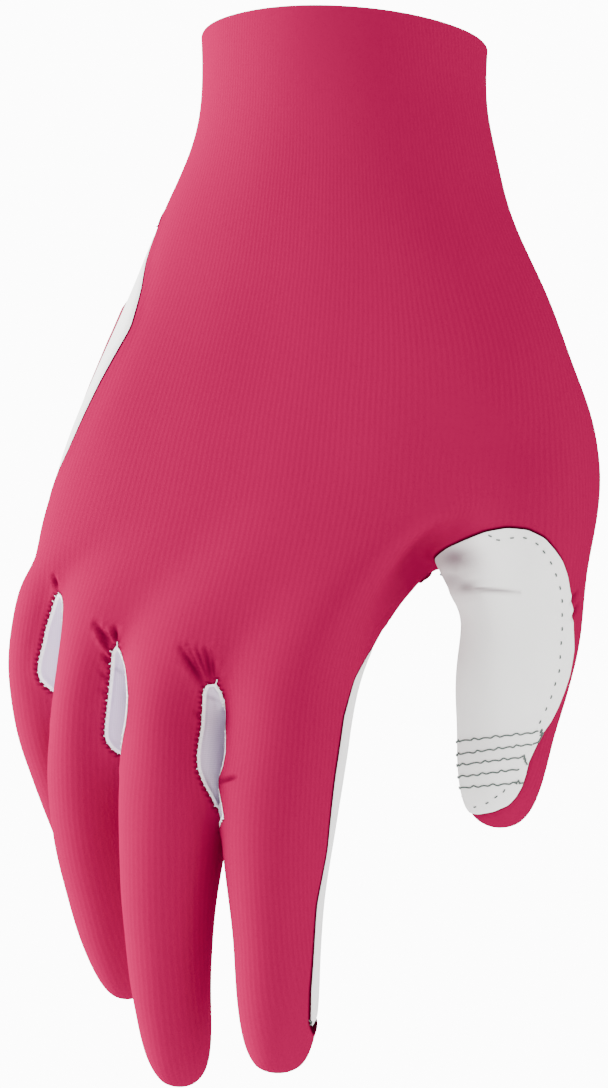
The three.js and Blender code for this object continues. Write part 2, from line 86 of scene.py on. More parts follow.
# %% [markdown]
# ## Reading places off the picture
# Seams, creases, stitches and thread ends are placed where the photograph shows them. A place in
# the picture, counted in its pixels, becomes a straight line of sight from the camera, and the
# point where that line first meets the skin is the real place. All sizes stay real ones.

# %% Go from the picture to the skin and back
picture_width = 608
picture_height = 1088
focal_pixels = focal_mm / sensor_mm * picture_height


def on_surface(tree, x, y):
    """The point of a surface that the camera sees at one place of the picture, and its normal."""
    sight = (view_right * (x - picture_width / 2) - view_up * (y - picture_height / 2)
             - towards_viewer * focal_pixels)
    place, normal, _, _ = tree.ray_cast(camera_place, sight.normalized())
    return place, normal


def in_picture(place):
    """Where a point shows in the picture, in its pixels."""
    offset = place - camera_place
    scale = focal_pixels / -offset.dot(towards_viewer)
    return (picture_width / 2 + offset.dot(view_right) * scale,
            picture_height / 2 - offset.dot(view_up) * scale)


print("the origin shows at", [round(v) for v in in_picture(Vector((0, 0, 0)))])

# %% [markdown]
# ## Light and floor
# The picture is a studio shot: a big soft light from the left and in front, and the right side a
# step darker. Square area lights turned to the middle of the glove do that. The ground is plain
# white, so the camera sees a bright backdrop, while the glove is lit by a weaker ambient light.

# %% Light the set
glove_middle = Vector((-0.01, 0.0, -0.11))
# Place in metres, size in metres and power in watts
studio_lights = {
    "key_light": ((-1.35, -0.42, 0.25), 0.8, 80),
    "front_fill": ((0.1, -1.3, -0.1), 1.0, 4),
    "right_fill": ((1.35, -0.25, 0.05), 1.0, 18),
    "top_light": ((-0.3, -0.1, 1.0), 0.8, 6),
    "back_light": ((0.5, 1.1, 0.2), 1.0, 6),
}
white = (1.0, 1.0, 1.0, 1)
ambient_strength = 0.8
backdrop_strength = 15.0

for name, (place, size, power) in studio_lights.items():
    bpy.ops.object.select_all(action="DESELECT")
    bpy.ops.object.light_add(type="AREA", location=place)
    light = bpy.context.object
    light.name = name
    light.data.shape = "SQUARE"
    light.data.size = size
    light.data.energy = power
    light.rotation_euler = (Vector(place) - glove_middle).to_track_quat("Z", "Y").to_euler()

world = bpy.context.scene.world or bpy.data.worlds.new("studio")
bpy.context.scene.world = world
world.use_nodes = True
nodes, link = world.node_tree.nodes, world.node_tree.links.new
ambient = nodes["Background"]
ambient.inputs["Color"].default_value = white
ambient.inputs["Strength"].default_value = ambient_strength
backdrop = nodes.new("ShaderNodeBackground")
backdrop.inputs["Strength"].default_value = backdrop_strength
seen = nodes.new("ShaderNodeLightPath")
choice = nodes.new("ShaderNodeMixShader")
link(seen.outputs["Is Camera Ray"], choice.inputs[0])
link(ambient.outputs[0], choice.inputs[1])
link(backdrop.outputs[0], choice.inputs[2])
link(choice.outputs[0], nodes["World Output"].inputs[0])
print(len(studio_lights), "lights round the glove")

# %% [markdown]
# The glove hangs in the air, so the floor lies well below it.

# %% Lay the floor
floor_z = -0.55
floor_size = 6
floor_grey = (0.9, 0.9, 0.9, 1)
floor_roughness = 0.9

bpy.ops.object.select_all(action="DESELECT")
bpy.ops.mesh.primitive_plane_add(size=floor_size, location=(0, 0, floor_z))
floor = bpy.context.object
floor.name = "floor"
floor_paint = bpy.data.materials.new("floor_paint")
floor_paint.use_nodes = True
floor_shader = floor_paint.node_tree.nodes["Principled BSDF"]
floor_shader.inputs["Base Color"].default_value = floor_grey
floor_shader.inputs["Roughness"].default_value = floor_roughness
floor.data.materials.append(floor_paint)
print("floor", round(-floor_z / MM), "mm below the cuff's mouth")

# %% [markdown]
# ## One skin from the panels
# The glove was cut from flat cloth, but when it is worn it is one smooth skin. That skin is made
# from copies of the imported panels, so a few helpers come first that add, copy and open pieces.

# %% Helpers for pieces
merge_reach = 0.00001


def select_only(thing):
    bpy.ops.object.select_all(action="DESELECT")
    thing.select_set(True)
    bpy.context.view_layer.objects.active = thing


def add_object(name, data):
    """A new object in the scene, with this mesh or curve."""
    thing = bpy.data.objects.new(name, data)
    bpy.context.scene.collection.objects.link(thing)
    return thing


def open_mesh(piece):
    """A piece's mesh, ready to be edited."""
    bm = bmesh.new()
    bm.from_mesh(piece.data)
    return bm


def close_mesh(bm, piece):
    """Puts an edited mesh back on its piece."""
    bm.to_mesh(piece.data)
    bm.free()


def copy_of(node, name):
    """A copy of a CAD node with a mesh of its own, merged into one connected surface."""
    piece = add_object(name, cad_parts[node].data.copy())
    piece.data.materials.clear()
    select_only(piece)
    bpy.ops.object.mode_set(mode="EDIT")
    bpy.ops.mesh.select_all(action="SELECT")
    bpy.ops.mesh.remove_doubles(threshold=merge_reach)
    bpy.ops.object.mode_set(mode="OBJECT")
    return piece


print("the packed model has", len(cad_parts), "nodes")

# %% [markdown]
# Each packed panel is a closed wall, and only its outer side is kept. The faces between a panel's
# two sides are found by their short edges, which are exactly as long as the cloth is thick, and the
# outer side is then the larger of the two that are left.

# %% Keep the outer side of each panel
gussets = ("fourchette_index_middle", "fourchette_middle_ring", "fourchette_ring_little")
# The wall of each packed panel in millimetres
panel_walls = {"back_panel": 1.0, "cuff_underside": 1.0, "palm_panel": 1.2, "thumb_panel": 1.2,
               **dict.fromkeys(gussets, 1.0)}
wall_slack = 0.000004


def islands_of(bm):
    """The connected parts of a mesh, as lists of faces."""
    left = set(bm.faces)
    islands = []
    while left:
        start = left.pop()
        island, to_search = [start], [start]
        while to_search:
            face = to_search.pop()
            for other in {other for edge in face.edges for other in edge.link_faces} & left:
                left.discard(other)
                island.append(other)
                to_search.append(other)
        islands.append(island)
    return islands


def keep_outer_side(piece, wall):
    """Deletes the rim and the inner side of a closed wall, and says how many sides it had."""
    bm = open_mesh(piece)
    rim = [face for face in bm.faces
           if any(abs(edge.calc_length() - wall * MM) < wall_slack for edge in face.edges)]
    bmesh.ops.delete(bm, geom=rim, context="FACES")
    sides = sorted(islands_of(bm), key=lambda side: sum(face.calc_area() for face in side))
    inner = [face for side in sides[:-1] for face in side]
    bmesh.ops.delete(bm, geom=inner, context="FACES")
    close_mesh(bm, piece)
    return len(sides)


skin_parts = []
for node, wall in panel_walls.items():
    part = copy_of(node, "skin_" + node)
    part.data.materials.append(bpy.data.materials.new(node + "_finish"))
    sides = keep_outer_side(part, wall)
    skin_parts.append(part)
    print(node, "had", sides, "sides; outer side has", len(part.data.polygons), "triangles")

# %% [markdown]
# The panels face each other across seams a third of a millimetre wide. Joining them and welding the
# facing points gives one skin with a single opening, the cuff's mouth. Every second edge of the
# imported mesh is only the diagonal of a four-sided face, and smoothing works best on four-sided
# faces, so the diagonals go. In this mesh they are easy to find: their two ends are the only
# points where five or more edges meet.

# %% Weld the panels together
seam_reach = 0.95 * MM
busy_point = 5


def close_seams(bm):
    """Welds the points that face each other across a seam, halfway between them."""
    border = [point for point in bm.verts if any(len(edge.link_faces) == 1 for edge in point.link_edges)]
    pairs = bmesh.ops.find_doubles(bm, verts=border, dist=seam_reach)["targetmap"]
    groups = {}
    for point in border:
        if point in pairs:
            groups.setdefault(pairs[point], [pairs[point]]).append(point)
    for target, group in groups.items():
        target.co = sum((point.co for point in group), Vector()) / len(group)
    bmesh.ops.weld_verts(bm, targetmap=pairs)


def drop_diagonals(bm):
    """Dissolves each edge whose two ends are both busy points."""
    diagonals = [edge for edge in bm.edges if len(edge.link_faces) == 2
                 and all(len(end.link_edges) >= busy_point for end in edge.verts)]
    bmesh.ops.dissolve_edges(bm, edges=diagonals, use_verts=False)


bpy.ops.object.select_all(action="DESELECT")
for part in skin_parts:
    part.select_set(True)
bpy.context.view_layer.objects.active = skin_parts[0]
bpy.ops.object.join()
skin = bpy.context.object
skin.name = "skin"

bm = open_mesh(skin)
close_seams(bm)
drop_diagonals(bm)
mouth = [edge for edge in bm.edges if len(edge.link_faces) == 1]
odd_faces = sum(len(face.verts) != 4 for face in bm.faces)
mouth_low = min(edge.verts[0].co.z for edge in mouth) / MM
print("skin has", len(bm.faces), "faces,", odd_faces, "not four-sided;", len(mouth),
      "edges round the mouth, lowest at", round(mouth_low, 1), "mm")
close_mesh(bm, skin)

# %% [markdown]
# ## Fingertip cuts
# Later the knit's ribs are laid out flat, and a closed fingertip can't be laid flat without a cut.
# Each tip is cut up its palm side to the nearest seam, where a cut doesn't show. Then one level of
# subdivision rounds the cage.

# %% Mark the seams and the fingertip cuts
# The end of each finger in millimetres, and how far its palm side is turned in degrees
fingertips = {
    "little": ((-82.0, 41.5, -174.0), -36),
    "ring": ((-69.3, 36.5, -203.0), -10),
    "middle": ((-51.0, 25.5, -224.0), 8),
    "index": ((-21.3, 12.0, -224.0), -13),
    "thumb": ((26.0, 21.0, -172.5), 92),
}
panel_index = {node: place for place, node in enumerate(panel_walls)}
pink_panels = {panel_index["back_panel"], panel_index["cuff_underside"]}
mesh_panels = {panel_index[node] for node in gussets}


def apply_modifier(piece, kind, **settings):
    """Adds a modifier, sets it and applies it."""
    select_only(piece)
    modifier = piece.modifiers.new(kind.lower(), kind)
    for name, value in settings.items():
        setattr(modifier, name, value)
    bpy.ops.object.modifier_apply(modifier=modifier.name)


def is_seam(edge):
    return len({face.material_index for face in edge.link_faces}) == 2


def cut_fingertip(bm, tip, back_turn):
    """Marks a line of edges as a cut, from a fingertip up its palm side to the nearest seam."""
    turn = math.radians(back_turn)
    way = Vector((-math.sin(turn), math.cos(turn), 0))
    point = min(bm.verts, key=lambda vert: (vert.co - Vector(tip) * MM).length)
    steps = 0
    while not any(is_seam(edge) for edge in point.link_edges):
        ahead = max(point.link_edges,
                    key=lambda edge: (edge.other_vert(point).co - point.co).normalized().dot(way))
        ahead.seam = True
        following = ahead.other_vert(point)
        way = (following.co - point.co).normalized()
        point = following
        steps += 1
    return steps


bm = open_mesh(skin)
for edge in bm.edges:
    edge.seam = is_seam(edge)
for finger, (tip, back_turn) in fingertips.items():
    print(finger, "tip cut over", cut_fingertip(bm, tip, back_turn), "edges")
close_mesh(bm, skin)
apply_modifier(skin, "SUBSURF", levels=1, render_levels=1)

# %% [markdown]
# ## Seams where the picture shows them
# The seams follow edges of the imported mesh, so they have corners that a sewn line never has. Where
# the camera sees a seam, the picture says where it really lies. Each line below follows one seam
# with the knit on its left, counted in the picture's pixels.

# %% Follow each seam in the picture
seam_lines = {
    "thumb patch": (
        (431, 562), (438, 555), (446, 549), (463, 541), (485, 532), (507, 528), (528, 530), (544, 538),
        (554, 550), (562, 563), (567, 576), (571, 600), (572, 621), (573, 650), (569, 674), (564, 690),
        (557, 708), (550, 722), (542, 733), (535, 747), (528, 762), (525, 775), (521, 787), (515, 797),
        (507, 805), (494, 811), (479, 814), (466, 812),
    ),
    "little and ring": (
        (51, 690), (46, 686), (39, 677), (38, 669), (39, 660), (44, 640), (46, 629), (51, 613),
        (55, 600), (59.7, 589),
    ),
    "ring and middle": (
        (117, 645), (121, 652), (125, 667), (127, 682), (128, 697), (127, 712), (125, 727), (121, 742),
        (118, 754), (111, 748), (106, 741), (105, 729), (107, 710), (109, 692), (111, 670), (112, 652),
        (117, 645),
    ),
    "middle and index": (
        (207, 683), (215, 684), (221, 693), (220.5, 708), (223, 720), (226, 735), (226, 752),
        (223, 768), (218.5, 777), (219, 790), (222, 803), (224, 817), (215, 804), (204, 785),
        (198, 770), (197, 756), (199, 741), (201.5, 727), (202.5, 709), (203, 692), (207, 683),
    ),
    "little-finger edge": (
        (163, 214), (158, 230), (149, 247), (145, 266), (141, 290), (131, 327), (115, 354), (99, 382),
        (85, 410), (76, 430), (67, 451), (58, 471), (49, 494),
    ),
    "index": (
        (320, 1036), (314, 1031), (311, 1022), (311, 990), (314, 952), (318, 905), (328, 852),
        (336, 776), (344, 717), (355, 679), (368, 656), (377, 645), (388, 631), (399, 615), (412, 600),
        (430, 583), (442, 577), (454, 570),
    ),
}
seam_line_panels = {
    "thumb patch": {"thumb_panel"}, "little and ring": {"fourchette_ring_little"},
    "ring and middle": {"fourchette_middle_ring"}, "middle and index": {"fourchette_index_middle"},
    "little-finger edge": {"palm_panel"}, "index": {"palm_panel"},
}
print(len(seam_lines), "seams followed over", sum(map(len, seam_lines.values())), "places")

# %% [markdown]
# A pull is the move that would bring a seam's point onto its line. It is worked out in the picture
# and then turned into a move along the cloth. Near the edge of sight a small step in the picture is
# a long way over the cloth, so pulls are weaker there. Only the little-finger edge is also pulled
# from just out of sight, because the whole of its line has to come into view.

# %% Measure the pulls
line_reach = {"thumb patch": 34, "index": 30}
plain_line_reach = 16
same_depth = 4 * MM
wrong_side = 0.15
facing_least = 0.12
steep_facing = 0.3
weakest_pull = 0.1
hidden_least = -0.7
hidden_reach = 10 * MM
hidden_pull = 0.6


def seam_goal(name, seen_at, knit_way):
    """The nearest point of a seam's line that has the knit on its left, and how far away it is."""
    best, best_away = None, line_reach.get(name, plain_line_reach)
    line = [Vector(corner) for corner in seam_lines[name]]
    for start, end in zip(line[:-1], line[1:]):
        step = end - start
        if step.x * knit_way.y - step.y * knit_way.x > -wrong_side * step.length * knit_way.length:
            continue
        share = min(max((seen_at - start).dot(step) / step.dot(step), 0), 1)
        away = (start + step * share - seen_at).length
        if away < best_away:
            best, best_away = start + step * share, away
    return best, best_away


def hidden_seam_pull(vert, others, tree):
    """The move of a point that is just out of sight, or None where it keeps its place."""
    goal, _ = seam_goal("little-finger edge", Vector(in_picture(vert.co)), Vector((1, 0)))
    if "palm_panel" not in others or vert.normal.dot(towards_viewer) <= hidden_least or goal is None:
        return None
    place, _ = on_surface(tree, goal.x, goal.y)
    if place is None or (place - vert.co).length >= hidden_reach:
        return None
    return hidden_pull, place - vert.co


def seen_seam_pull(vert, others, tree):
    """The move of a point that the camera sees, or None where no line is near."""
    facing = vert.normal.dot(towards_viewer)
    seen, _ = on_surface(tree, *in_picture(vert.co))
    if seen is None or (seen - vert.co).length > same_depth:
        return None
    knit = [face.calc_center_median() for face in vert.link_faces if face.material_index in pink_panels]
    seen_at = Vector(in_picture(vert.co))
    knit_way = Vector(in_picture(sum(knit, Vector()) / len(knit))) - seen_at
    goals = [seam_goal(name, seen_at, knit_way)
             for name, wanted in seam_line_panels.items() if wanted & others]
    goal, _ = min(goals, key=lambda one: one[1] if one[0] else math.inf)
    if goal is None:
        return None
    shift = goal - seen_at
    move = (view_right * shift.x - view_up * shift.y) * ((camera_place - vert.co).dot(towards_viewer)
                                                         / focal_pixels)
    move -= towards_viewer * (move.dot(vert.normal) / max(facing, steep_facing))
    return min(1.0, (facing - facing_least) / steep_facing + weakest_pull), move


def seam_pulls(bm, tree):
    """How strongly and how far each seam point is pulled, by its number."""
    pulls = {}
    names = list(panel_walls)
    for vert in bm.verts:
        meeting = {face.material_index for face in vert.link_faces}
        others = {names[place] for place in meeting - pink_panels}
        if not meeting & pink_panels or not others:
            continue
        hidden = vert.normal.dot(towards_viewer) < facing_least
        pull = (hidden_seam_pull if hidden else seen_seam_pull)(vert, others, tree)
        if pull is not None:
            pulls[vert.index] = pull
    return pulls


pixel_mm = camera_place.length / focal_pixels / MM
print("one pixel of the picture is", round(pixel_mm, 2), "mm at the cuff's mouth")

# %% [markdown]
# Before the pulls every seam is drawn smooth: each of its points moves towards the middle of its two
# neighbours. Sharp points of the mesh gussets and places where three panels meet stay put. The cloth
# beside a pulled seam gives way smoothly, which is a large set of equations solved by going round
# and round, and faces that a pull has turned over are spread out again.

# %% Let the cloth give way
sharp_point = 0.25
settle_share = 0.5
turned_over = 0.2
spread_share = 0.6
give_way = 0.02
least_move = 0.01 * MM


def smooth_seams(bm, rounds):
    """Moves every seam point towards the middle of its two neighbours along the skin."""
    chains = []
    for vert in bm.verts:
        ends = [edge.other_vert(vert) for edge in vert.link_edges if is_seam(edge)]
        if len(ends) == 2 and not vert.is_boundary:
            ways = [(end.co - vert.co).normalized() for end in ends]
            if ways[0].dot(ways[1]) < sharp_point:
                chains.append((vert, ends))
    for _ in range(rounds):
        goals = [(vert, (ends[0].co + ends[1].co) / 2) for vert, ends in chains]
        for vert, goal in goals:
            move = (goal - vert.co) * settle_share
            vert.co += move - vert.normal * move.dot(vert.normal)


def unfold(bm, tree, rounds):
    """Spreads out the faces that a pull has turned over, until none is left."""
    faces = set(bm.faces)
    for _ in range(rounds):
        bm.normal_update()
        turned = [face for face in faces
                  if face.normal.dot(tree.find_nearest(face.calc_center_median())[1]) < turned_over]
        if not turned:
            return 0
        ring = {corner for face in turned for corner in face.verts}
        ring |= {edge.other_vert(vert) for vert in ring for edge in vert.link_edges}
        ring = {vert for vert in ring if not vert.is_boundary}
        goals = {}
        for vert in ring:
            around = [edge.other_vert(vert).co for edge in vert.link_edges]
            goals[vert] = sum(around, Vector()) / len(around)
        for vert, goal in goals.items():
            vert.co = tree.find_nearest(vert.co.lerp(goal, spread_share))[0]
        faces = {face for vert in ring for face in vert.link_faces}
    return len(turned)


def draw_seams(bm, tree, passes, stiffness, rounds):
    """Pulls the seams onto their lines, pass by pass, and lets the cloth around give way smoothly."""
    count = len(bm.verts)
    ends = np.array([[vert.index for vert in edge.verts] for edge in bm.edges])
    first, second = np.concatenate([ends, ends[:, ::-1]]).T
    degree = np.bincount(first, minlength=count)
    fixed = np.array([vert.is_boundary for vert in bm.verts])
    for _ in range(passes):
        bm.normal_update()
        pulls = seam_pulls(bm, tree)
        pulled, goals = np.zeros(count), np.zeros((count, 3))
        for index, (share, pull) in pulls.items():
            pulled[index], goals[index] = share, pull
        moves = goals.copy()
        for _ in range(rounds):
            around = np.stack([np.bincount(first, moves[second, axis], count) for axis in range(3)], axis=1)
            moves = (goals * pulled[:, None] + stiffness * around)
            moves /= (pulled + stiffness * degree + give_way)[:, None]
            moves[fixed] = 0
        for index in np.flatnonzero(np.linalg.norm(moves, axis=1) > least_move):
            vert = bm.verts[index]
            vert.co = tree.find_nearest(vert.co + Vector(moves[index]))[0]
    left = unfold(bm, tree, rounds=30)
    far = np.linalg.norm(goals, axis=1)[pulled > 0] / MM
    print(len(far), f"seam points in sight, {far.mean():.2f} mm away before the last pass;", left,
          "faces turned over")


# %% [markdown]
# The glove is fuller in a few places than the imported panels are, and there the skin swells softly
# first. Two seams run on round the edge of sight, where no pull reaches them, and they are slid
# along the skin by a small amount instead.

# %% Fill the glove out and draw its seams
# x, y in the picture, then reach and height in millimetres
swellings = {
    "first finger's root": (232, 815, 15, 0.7),
    "middle finger's side": (219, 800, 13, 1.0),
    "mesh beside it": (222, 765, 9, 0.5),
    "little-finger edge": (98, 388, 20, 1.6),
    "thumb's root": (452, 577, 6, 2.7),
    "first fingertip": (312, 1012, 8, 0.7),
}
# x, y in the picture, then reach and slide in millimetres
seam_slides = {
    "behind the web": (414, 583, 11, (0, 3.2, 0)),
    "first fingertip": (315, 1014, 7, (0, 0, -3.0)),
}

bm = open_mesh(skin)
bm.verts.ensure_lookup_table()
packed_skin = BVHTree.FromBMesh(bm)
bm.normal_update()
for x, y, reach, height in swellings.values():
    middle = on_surface(packed_skin, x, y)[0]
    for vert in bm.verts:
        away = (vert.co - middle).length / MM
        vert.co += vert.normal * (height * math.exp(-(away / reach) ** 2) * MM)
smooth_skin = BVHTree.FromBMesh(bm)
smooth_seams(bm, rounds=6)
draw_seams(bm, smooth_skin, passes=6, stiffness=1.0, rounds=80)
for x, y, reach, way in seam_slides.values():
    middle = on_surface(packed_skin, x, y)[0]
    for vert in bm.verts:
        away = (vert.co - middle).length / (reach * MM)
        if away < 1:
            vert.co = smooth_skin.find_nearest(vert.co + Vector(way) * MM * (1 - away * away) ** 2)[0]
close_mesh(bm, skin)

# %% [markdown]
# ## Ribs that follow the fingers
# The knit's ribs run down the back and fan out into the fingers. A plain unwrap would lay them
# straight across a splayed finger, so the flat coordinates are worked out from the way the cloth
# runs. Lines from the wrist to each fingertip give that direction at every face.

# %% Find the way that the cloth runs
# Each line runs from the wrist down the middle of a finger, in millimetres
cloth_lines = {
    "little": [(-14, 0, 4), (-24, 0, -38), (-52, -2, -84), (-72, 5, -116), (-78, 11, -133), (-80, 24, -152),
               (-82, 41, -173)],
    "ring": [(-7, 0, 4), (-14, 0, -38), (-38, -2, -90), (-57, -1, -126), (-66, 10, -158), (-68, 22, -181),
             (-69, 36, -202)],
    "middle": [(0, 0, 4), (-4, 0, -38), (-23, -2, -95), (-37, -4, -137), (-40, -2, -168), (-46, 9, -196),
               (-51, 25, -223)],
    "index": [(7, 0, 4), (8, 0, -38), (2, 0, -92), (-11, -2, -138), (-15, 0, -173), (-18, 5, -199),
              (-21, 12, -223)],
    "thumb": [(15, 0, 4), (24, 2, -40), (42, 7, -80), (37, 17, -115), (31, 19, -137), (28, 21, -156),
              (26, 21, -172)],
}
nearness_power = 6
no_distance = 1e-15


def cloth_direction(places):
    """The way the cloth runs at each place: towards the fingertips along the nearest lines."""
    total = np.zeros_like(places)
    for line in cloth_lines.values():
        points = np.array(line) * MM
        for start, end in zip(points[:-1], points[1:]):
            step = end - start
            share = np.clip((places - start) @ step / (step @ step), 0, 1)
            away = np.linalg.norm(places - start - share[:, None] * step, axis=1)
            total += step / np.linalg.norm(step) / (away[:, None] ** nearness_power + no_distance)
    return total / np.linalg.norm(total, axis=1, keepdims=True)


print("cloth runs along", len(cloth_lines), "lines")

# %% [markdown]
# The first flat coordinate has to grow by a millimetre for each millimetre across that direction,
# and the second along it, as nearly as the shape allows. That is a large set of simple equations,
# solved by the method of conjugate gradients.

# %% A helper that solves them
solver_steps = 260
no_size = 1e-30


def solve_steps(first, second, goal, weight, start):
    """Finds values whose difference over each pair comes as near as it can to its goal."""
    count = len(start)

    def gather(pulls):
        return np.bincount(second, pulls, count) - np.bincount(first, pulls, count)

    values = start.copy()
    rest = gather(weight * (goal - (values[second] - values[first])))
    way, size = rest.copy(), rest @ rest
    for _ in range(solver_steps):
        spread = gather(weight * (way[second] - way[first]))
        stride = size / max(way @ spread, no_size)
        values += stride * way
        rest -= stride * spread
        new_size = rest @ rest
        way = rest + way * (new_size / max(size, no_size))
        size = new_size
    return values


# %% [markdown]
# There is one equation for each edge and each diagonal of a face. Steps along the ribs count more,
# so that ribs stay with the cloth. How badly the steps fit is kept on the mesh, because squeezed
# ribs are drawn fainter.

# %% Work out flat coordinates for the cloth
follow_weight = 6.0
follow_power = 4
no_length = 1e-12
face_pairs = [(0, 1), (1, 2), (2, 3), (3, 0), (0, 2), (1, 3)]

bm = open_mesh(skin)
bmesh.ops.split_edges(bm, edges=[edge for edge in bm.edges if edge.seam])
bm.verts.index_update()
places = np.array([vert.co for vert in bm.verts])
corners = np.array([[vert.index for vert in face.verts] for face in bm.faces])
bm.free()
middles = places[corners].mean(axis=1)
out = np.cross(places[corners[:, 2]] - places[corners[:, 0]],
               places[corners[:, 3]] - places[corners[:, 1]])
out /= np.linalg.norm(out, axis=1, keepdims=True)
down = cloth_direction(middles)
down -= (down * out).sum(axis=1, keepdims=True) * out
down /= np.linalg.norm(down, axis=1, keepdims=True)
across = np.cross(out, down)
first = np.concatenate([corners[:, start] for start, _ in face_pairs])
second = np.concatenate([corners[:, end] for _, end in face_pairs])
steps = places[second] - places[first]
faces_of = np.tile(np.arange(len(corners)), len(face_pairs))
step_down = (steps * down[faces_of]).sum(axis=1)
step_across = (steps * across[faces_of]).sum(axis=1)
length = np.linalg.norm(steps, axis=1) + no_length
follow = 1 + follow_weight * (np.abs(step_down) / length) ** follow_power
ribs = solve_steps(first, second, step_across, follow, places[:, 0])
rows = solve_steps(first, second, step_down, np.ones(len(first)), -places[:, 2])
flat = np.stack([ribs[corners], rows[corners]], axis=2)
skin.data.uv_layers.new(name="UVMap")
skin.data.uv_layers["UVMap"].data.foreach_set("uv", flat.ravel())
left_over = np.abs(ribs[second] - ribs[first] - step_across) / length
squeeze = np.bincount(faces_of, left_over) / len(face_pairs)
squeezed = skin.data.attributes.new("squeeze", "FLOAT", "POINT")
point_of = np.array([list(face.vertices) for face in skin.data.polygons])
shared = np.bincount(point_of.ravel(), np.repeat(squeeze, 4)) / np.bincount(point_of.ravel())
squeezed.data.foreach_set("value", shared)
print("ribs laid out, mean error", round(float(left_over.mean()) * 100, 1), "percent")

# %% [markdown]
# ## Creases and hollows
# Where a seam ends between two fingers, the knit is gathered into a small fan of creases. Each one
# is a shallow valley with a low ridge on either side, drawn between two places of the picture. It
# follows the skin in short steps, because a straight line would pass under a rounded surface. The
# thumb patch has softer hollows as well, round ones under the web.

# %% Place the creases and hollows
# From x, y to x, y in the picture, then width and depth in millimetres
creases = {
    "ring and middle, outer": (95, 624, 112, 648, 0.7, 0.75),
    "ring and middle, outer second": (99, 636, 110, 652, 0.45, 0.45),
    "ring and middle, centre": (104, 628, 114, 646, 0.4, 0.5),
    "ring and middle, inner": (114, 628, 116, 643, 0.6, 0.7),
    "little and ring": (54, 576, 58, 589, 0.55, 0.5),
    "middle and index, far": (181, 648, 203, 685, 0.7, 0.7),
    "middle and index, second": (187, 645, 205, 682, 0.5, 0.55),
    "middle and index, third": (196, 648, 208, 681, 0.45, 0.5),
    "middle and index, near": (205, 650, 211, 680, 0.6, 0.75),
    "middle and index, last": (211, 652, 215, 680, 0.5, 0.6),
    "index side": (221, 781, 236, 777, 0.5, 0.6),
    "ring side, upper": (104, 655, 110, 664, 0.6, 0.5),
    "ring side, middle": (100, 672, 109, 680, 0.5, 0.3),
    "ring side, lower": (103, 690, 107, 695, 0.7, 0.35),
    "middle side, upper": (196, 712, 202, 717, 0.7, 0.35),
    "mesh fold, ring": (112, 667, 124, 675, 0.45, 0.4),
    "mesh fold, middle": (205, 696, 221, 703, 0.45, 0.4),
    "mesh flap, middle": (213, 686, 220, 696, 0.35, 0.4),
    "thumb fold": (462, 587, 520, 592, 0.45, 0.55),
    "thumb back, upper": (570, 603, 579, 592, 0.6, 0.45),
    "thumb back, lower": (571, 619, 579, 605, 0.6, 0.5),
}
# x, y, half the width and half the height in the picture, then depth in millimetres
hollows = {
    "under the web": (453, 558, 22, 14, 1.0),
    "fold's start": (451, 580, 17, 10, 0.7),
    "fold's middle": (464, 586, 14, 7, 0.75),
}
crease_steps = 8
crease_line, crease_normal = {}, {}
for name, (x0, y0, x1, y1, width, depth) in creases.items():
    on_it = []
    for step in range(crease_steps + 1):
        shift_x, shift_y = (x1 - x0) * step / crease_steps, (y1 - y0) * step / crease_steps
        on_it.append(on_surface(smooth_skin, x0 + shift_x, y0 + shift_y))
    if any(place is None for place, _ in on_it):
        raise ValueError(f"the crease {name} leaves the glove")
    crease_line[name] = [place for place, _ in on_it]
    crease_normal[name] = (on_it[0][1] + on_it[-1][1]).normalized()
hollow_places = [on_surface(smooth_skin, x, y)[0] for x, y, _, _, _ in hollows.values()]
print(len(creases), "creases and", len(hollows), "hollows placed")

# %% [markdown]
# ## Finer faces, finest at the seams
# The second level of subdivision brings the faces down to about a millimetre. Seam edges, gathers
# and creases need half of that, so the faces within a few millimetres of a seam or crease are cut
# once more, and those right at a crease or a mesh window twice.

# %% Refine the skin
refine_reach = 2.6 * MM
crease_reach = 1.9 * MM
finest_reach = 0.7 * MM


def tree_of(places):
    """A search tree that finds the nearest of many places."""
    tree = kdtree.KDTree(len(places))
    for index, place in enumerate(places):
        tree.insert(place, index)
    tree.balance()
    return tree


def seam_samples(bm, wanted):
    """Points along every edge between two panels that the question answers yes for."""
    samples = []
    for edge in bm.edges:
        meeting = {face.material_index for face in edge.link_faces}
        if len(meeting) == 2 and wanted(meeting):
            start, end = (vert.co for vert in edge.verts)
            samples += [start.copy(), start.lerp(end, 1 / 3), start.lerp(end, 2 / 3), end.copy()]
    return samples


def edges_near(bm, *nears):
    """The edges of all faces whose middle lies within reach of one of the trees, in the mesh's order."""
    found = set()
    for face in bm.faces:
        middle = face.calc_center_median()
        if any(tree.find(middle)[2] < reach for tree, reach in nears):
            found.update(face.edges)
    return [edge for edge in bm.edges if edge in found]


apply_modifier(skin, "SUBSURF", levels=1, render_levels=1)
bm = open_mesh(skin)
seam_points = tree_of(seam_samples(bm, lambda meeting: True))
window_points = tree_of(seam_samples(bm, lambda meeting: bool(meeting & mesh_panels)))
crease_points = tree_of([place for line in crease_line.values() for place in line] + hollow_places)
before = len(bm.faces)
for nears in (((seam_points, refine_reach), (crease_points, crease_reach)),
              ((crease_points, crease_reach / 2), (window_points, finest_reach))):
    bmesh.ops.subdivide_edges(bm, edges=edges_near(bm, *nears), cuts=1, use_grid_fill=True)
bm.verts.ensure_lookup_table()
fine_skin = BVHTree.FromBMesh(bm)
smooth_seams(bm, rounds=8)
draw_seams(bm, fine_skin, passes=2, stiffness=0.6, rounds=40)
print("skin refined from", before, "to", len(bm.faces), "faces")
close_mesh(bm, skin)

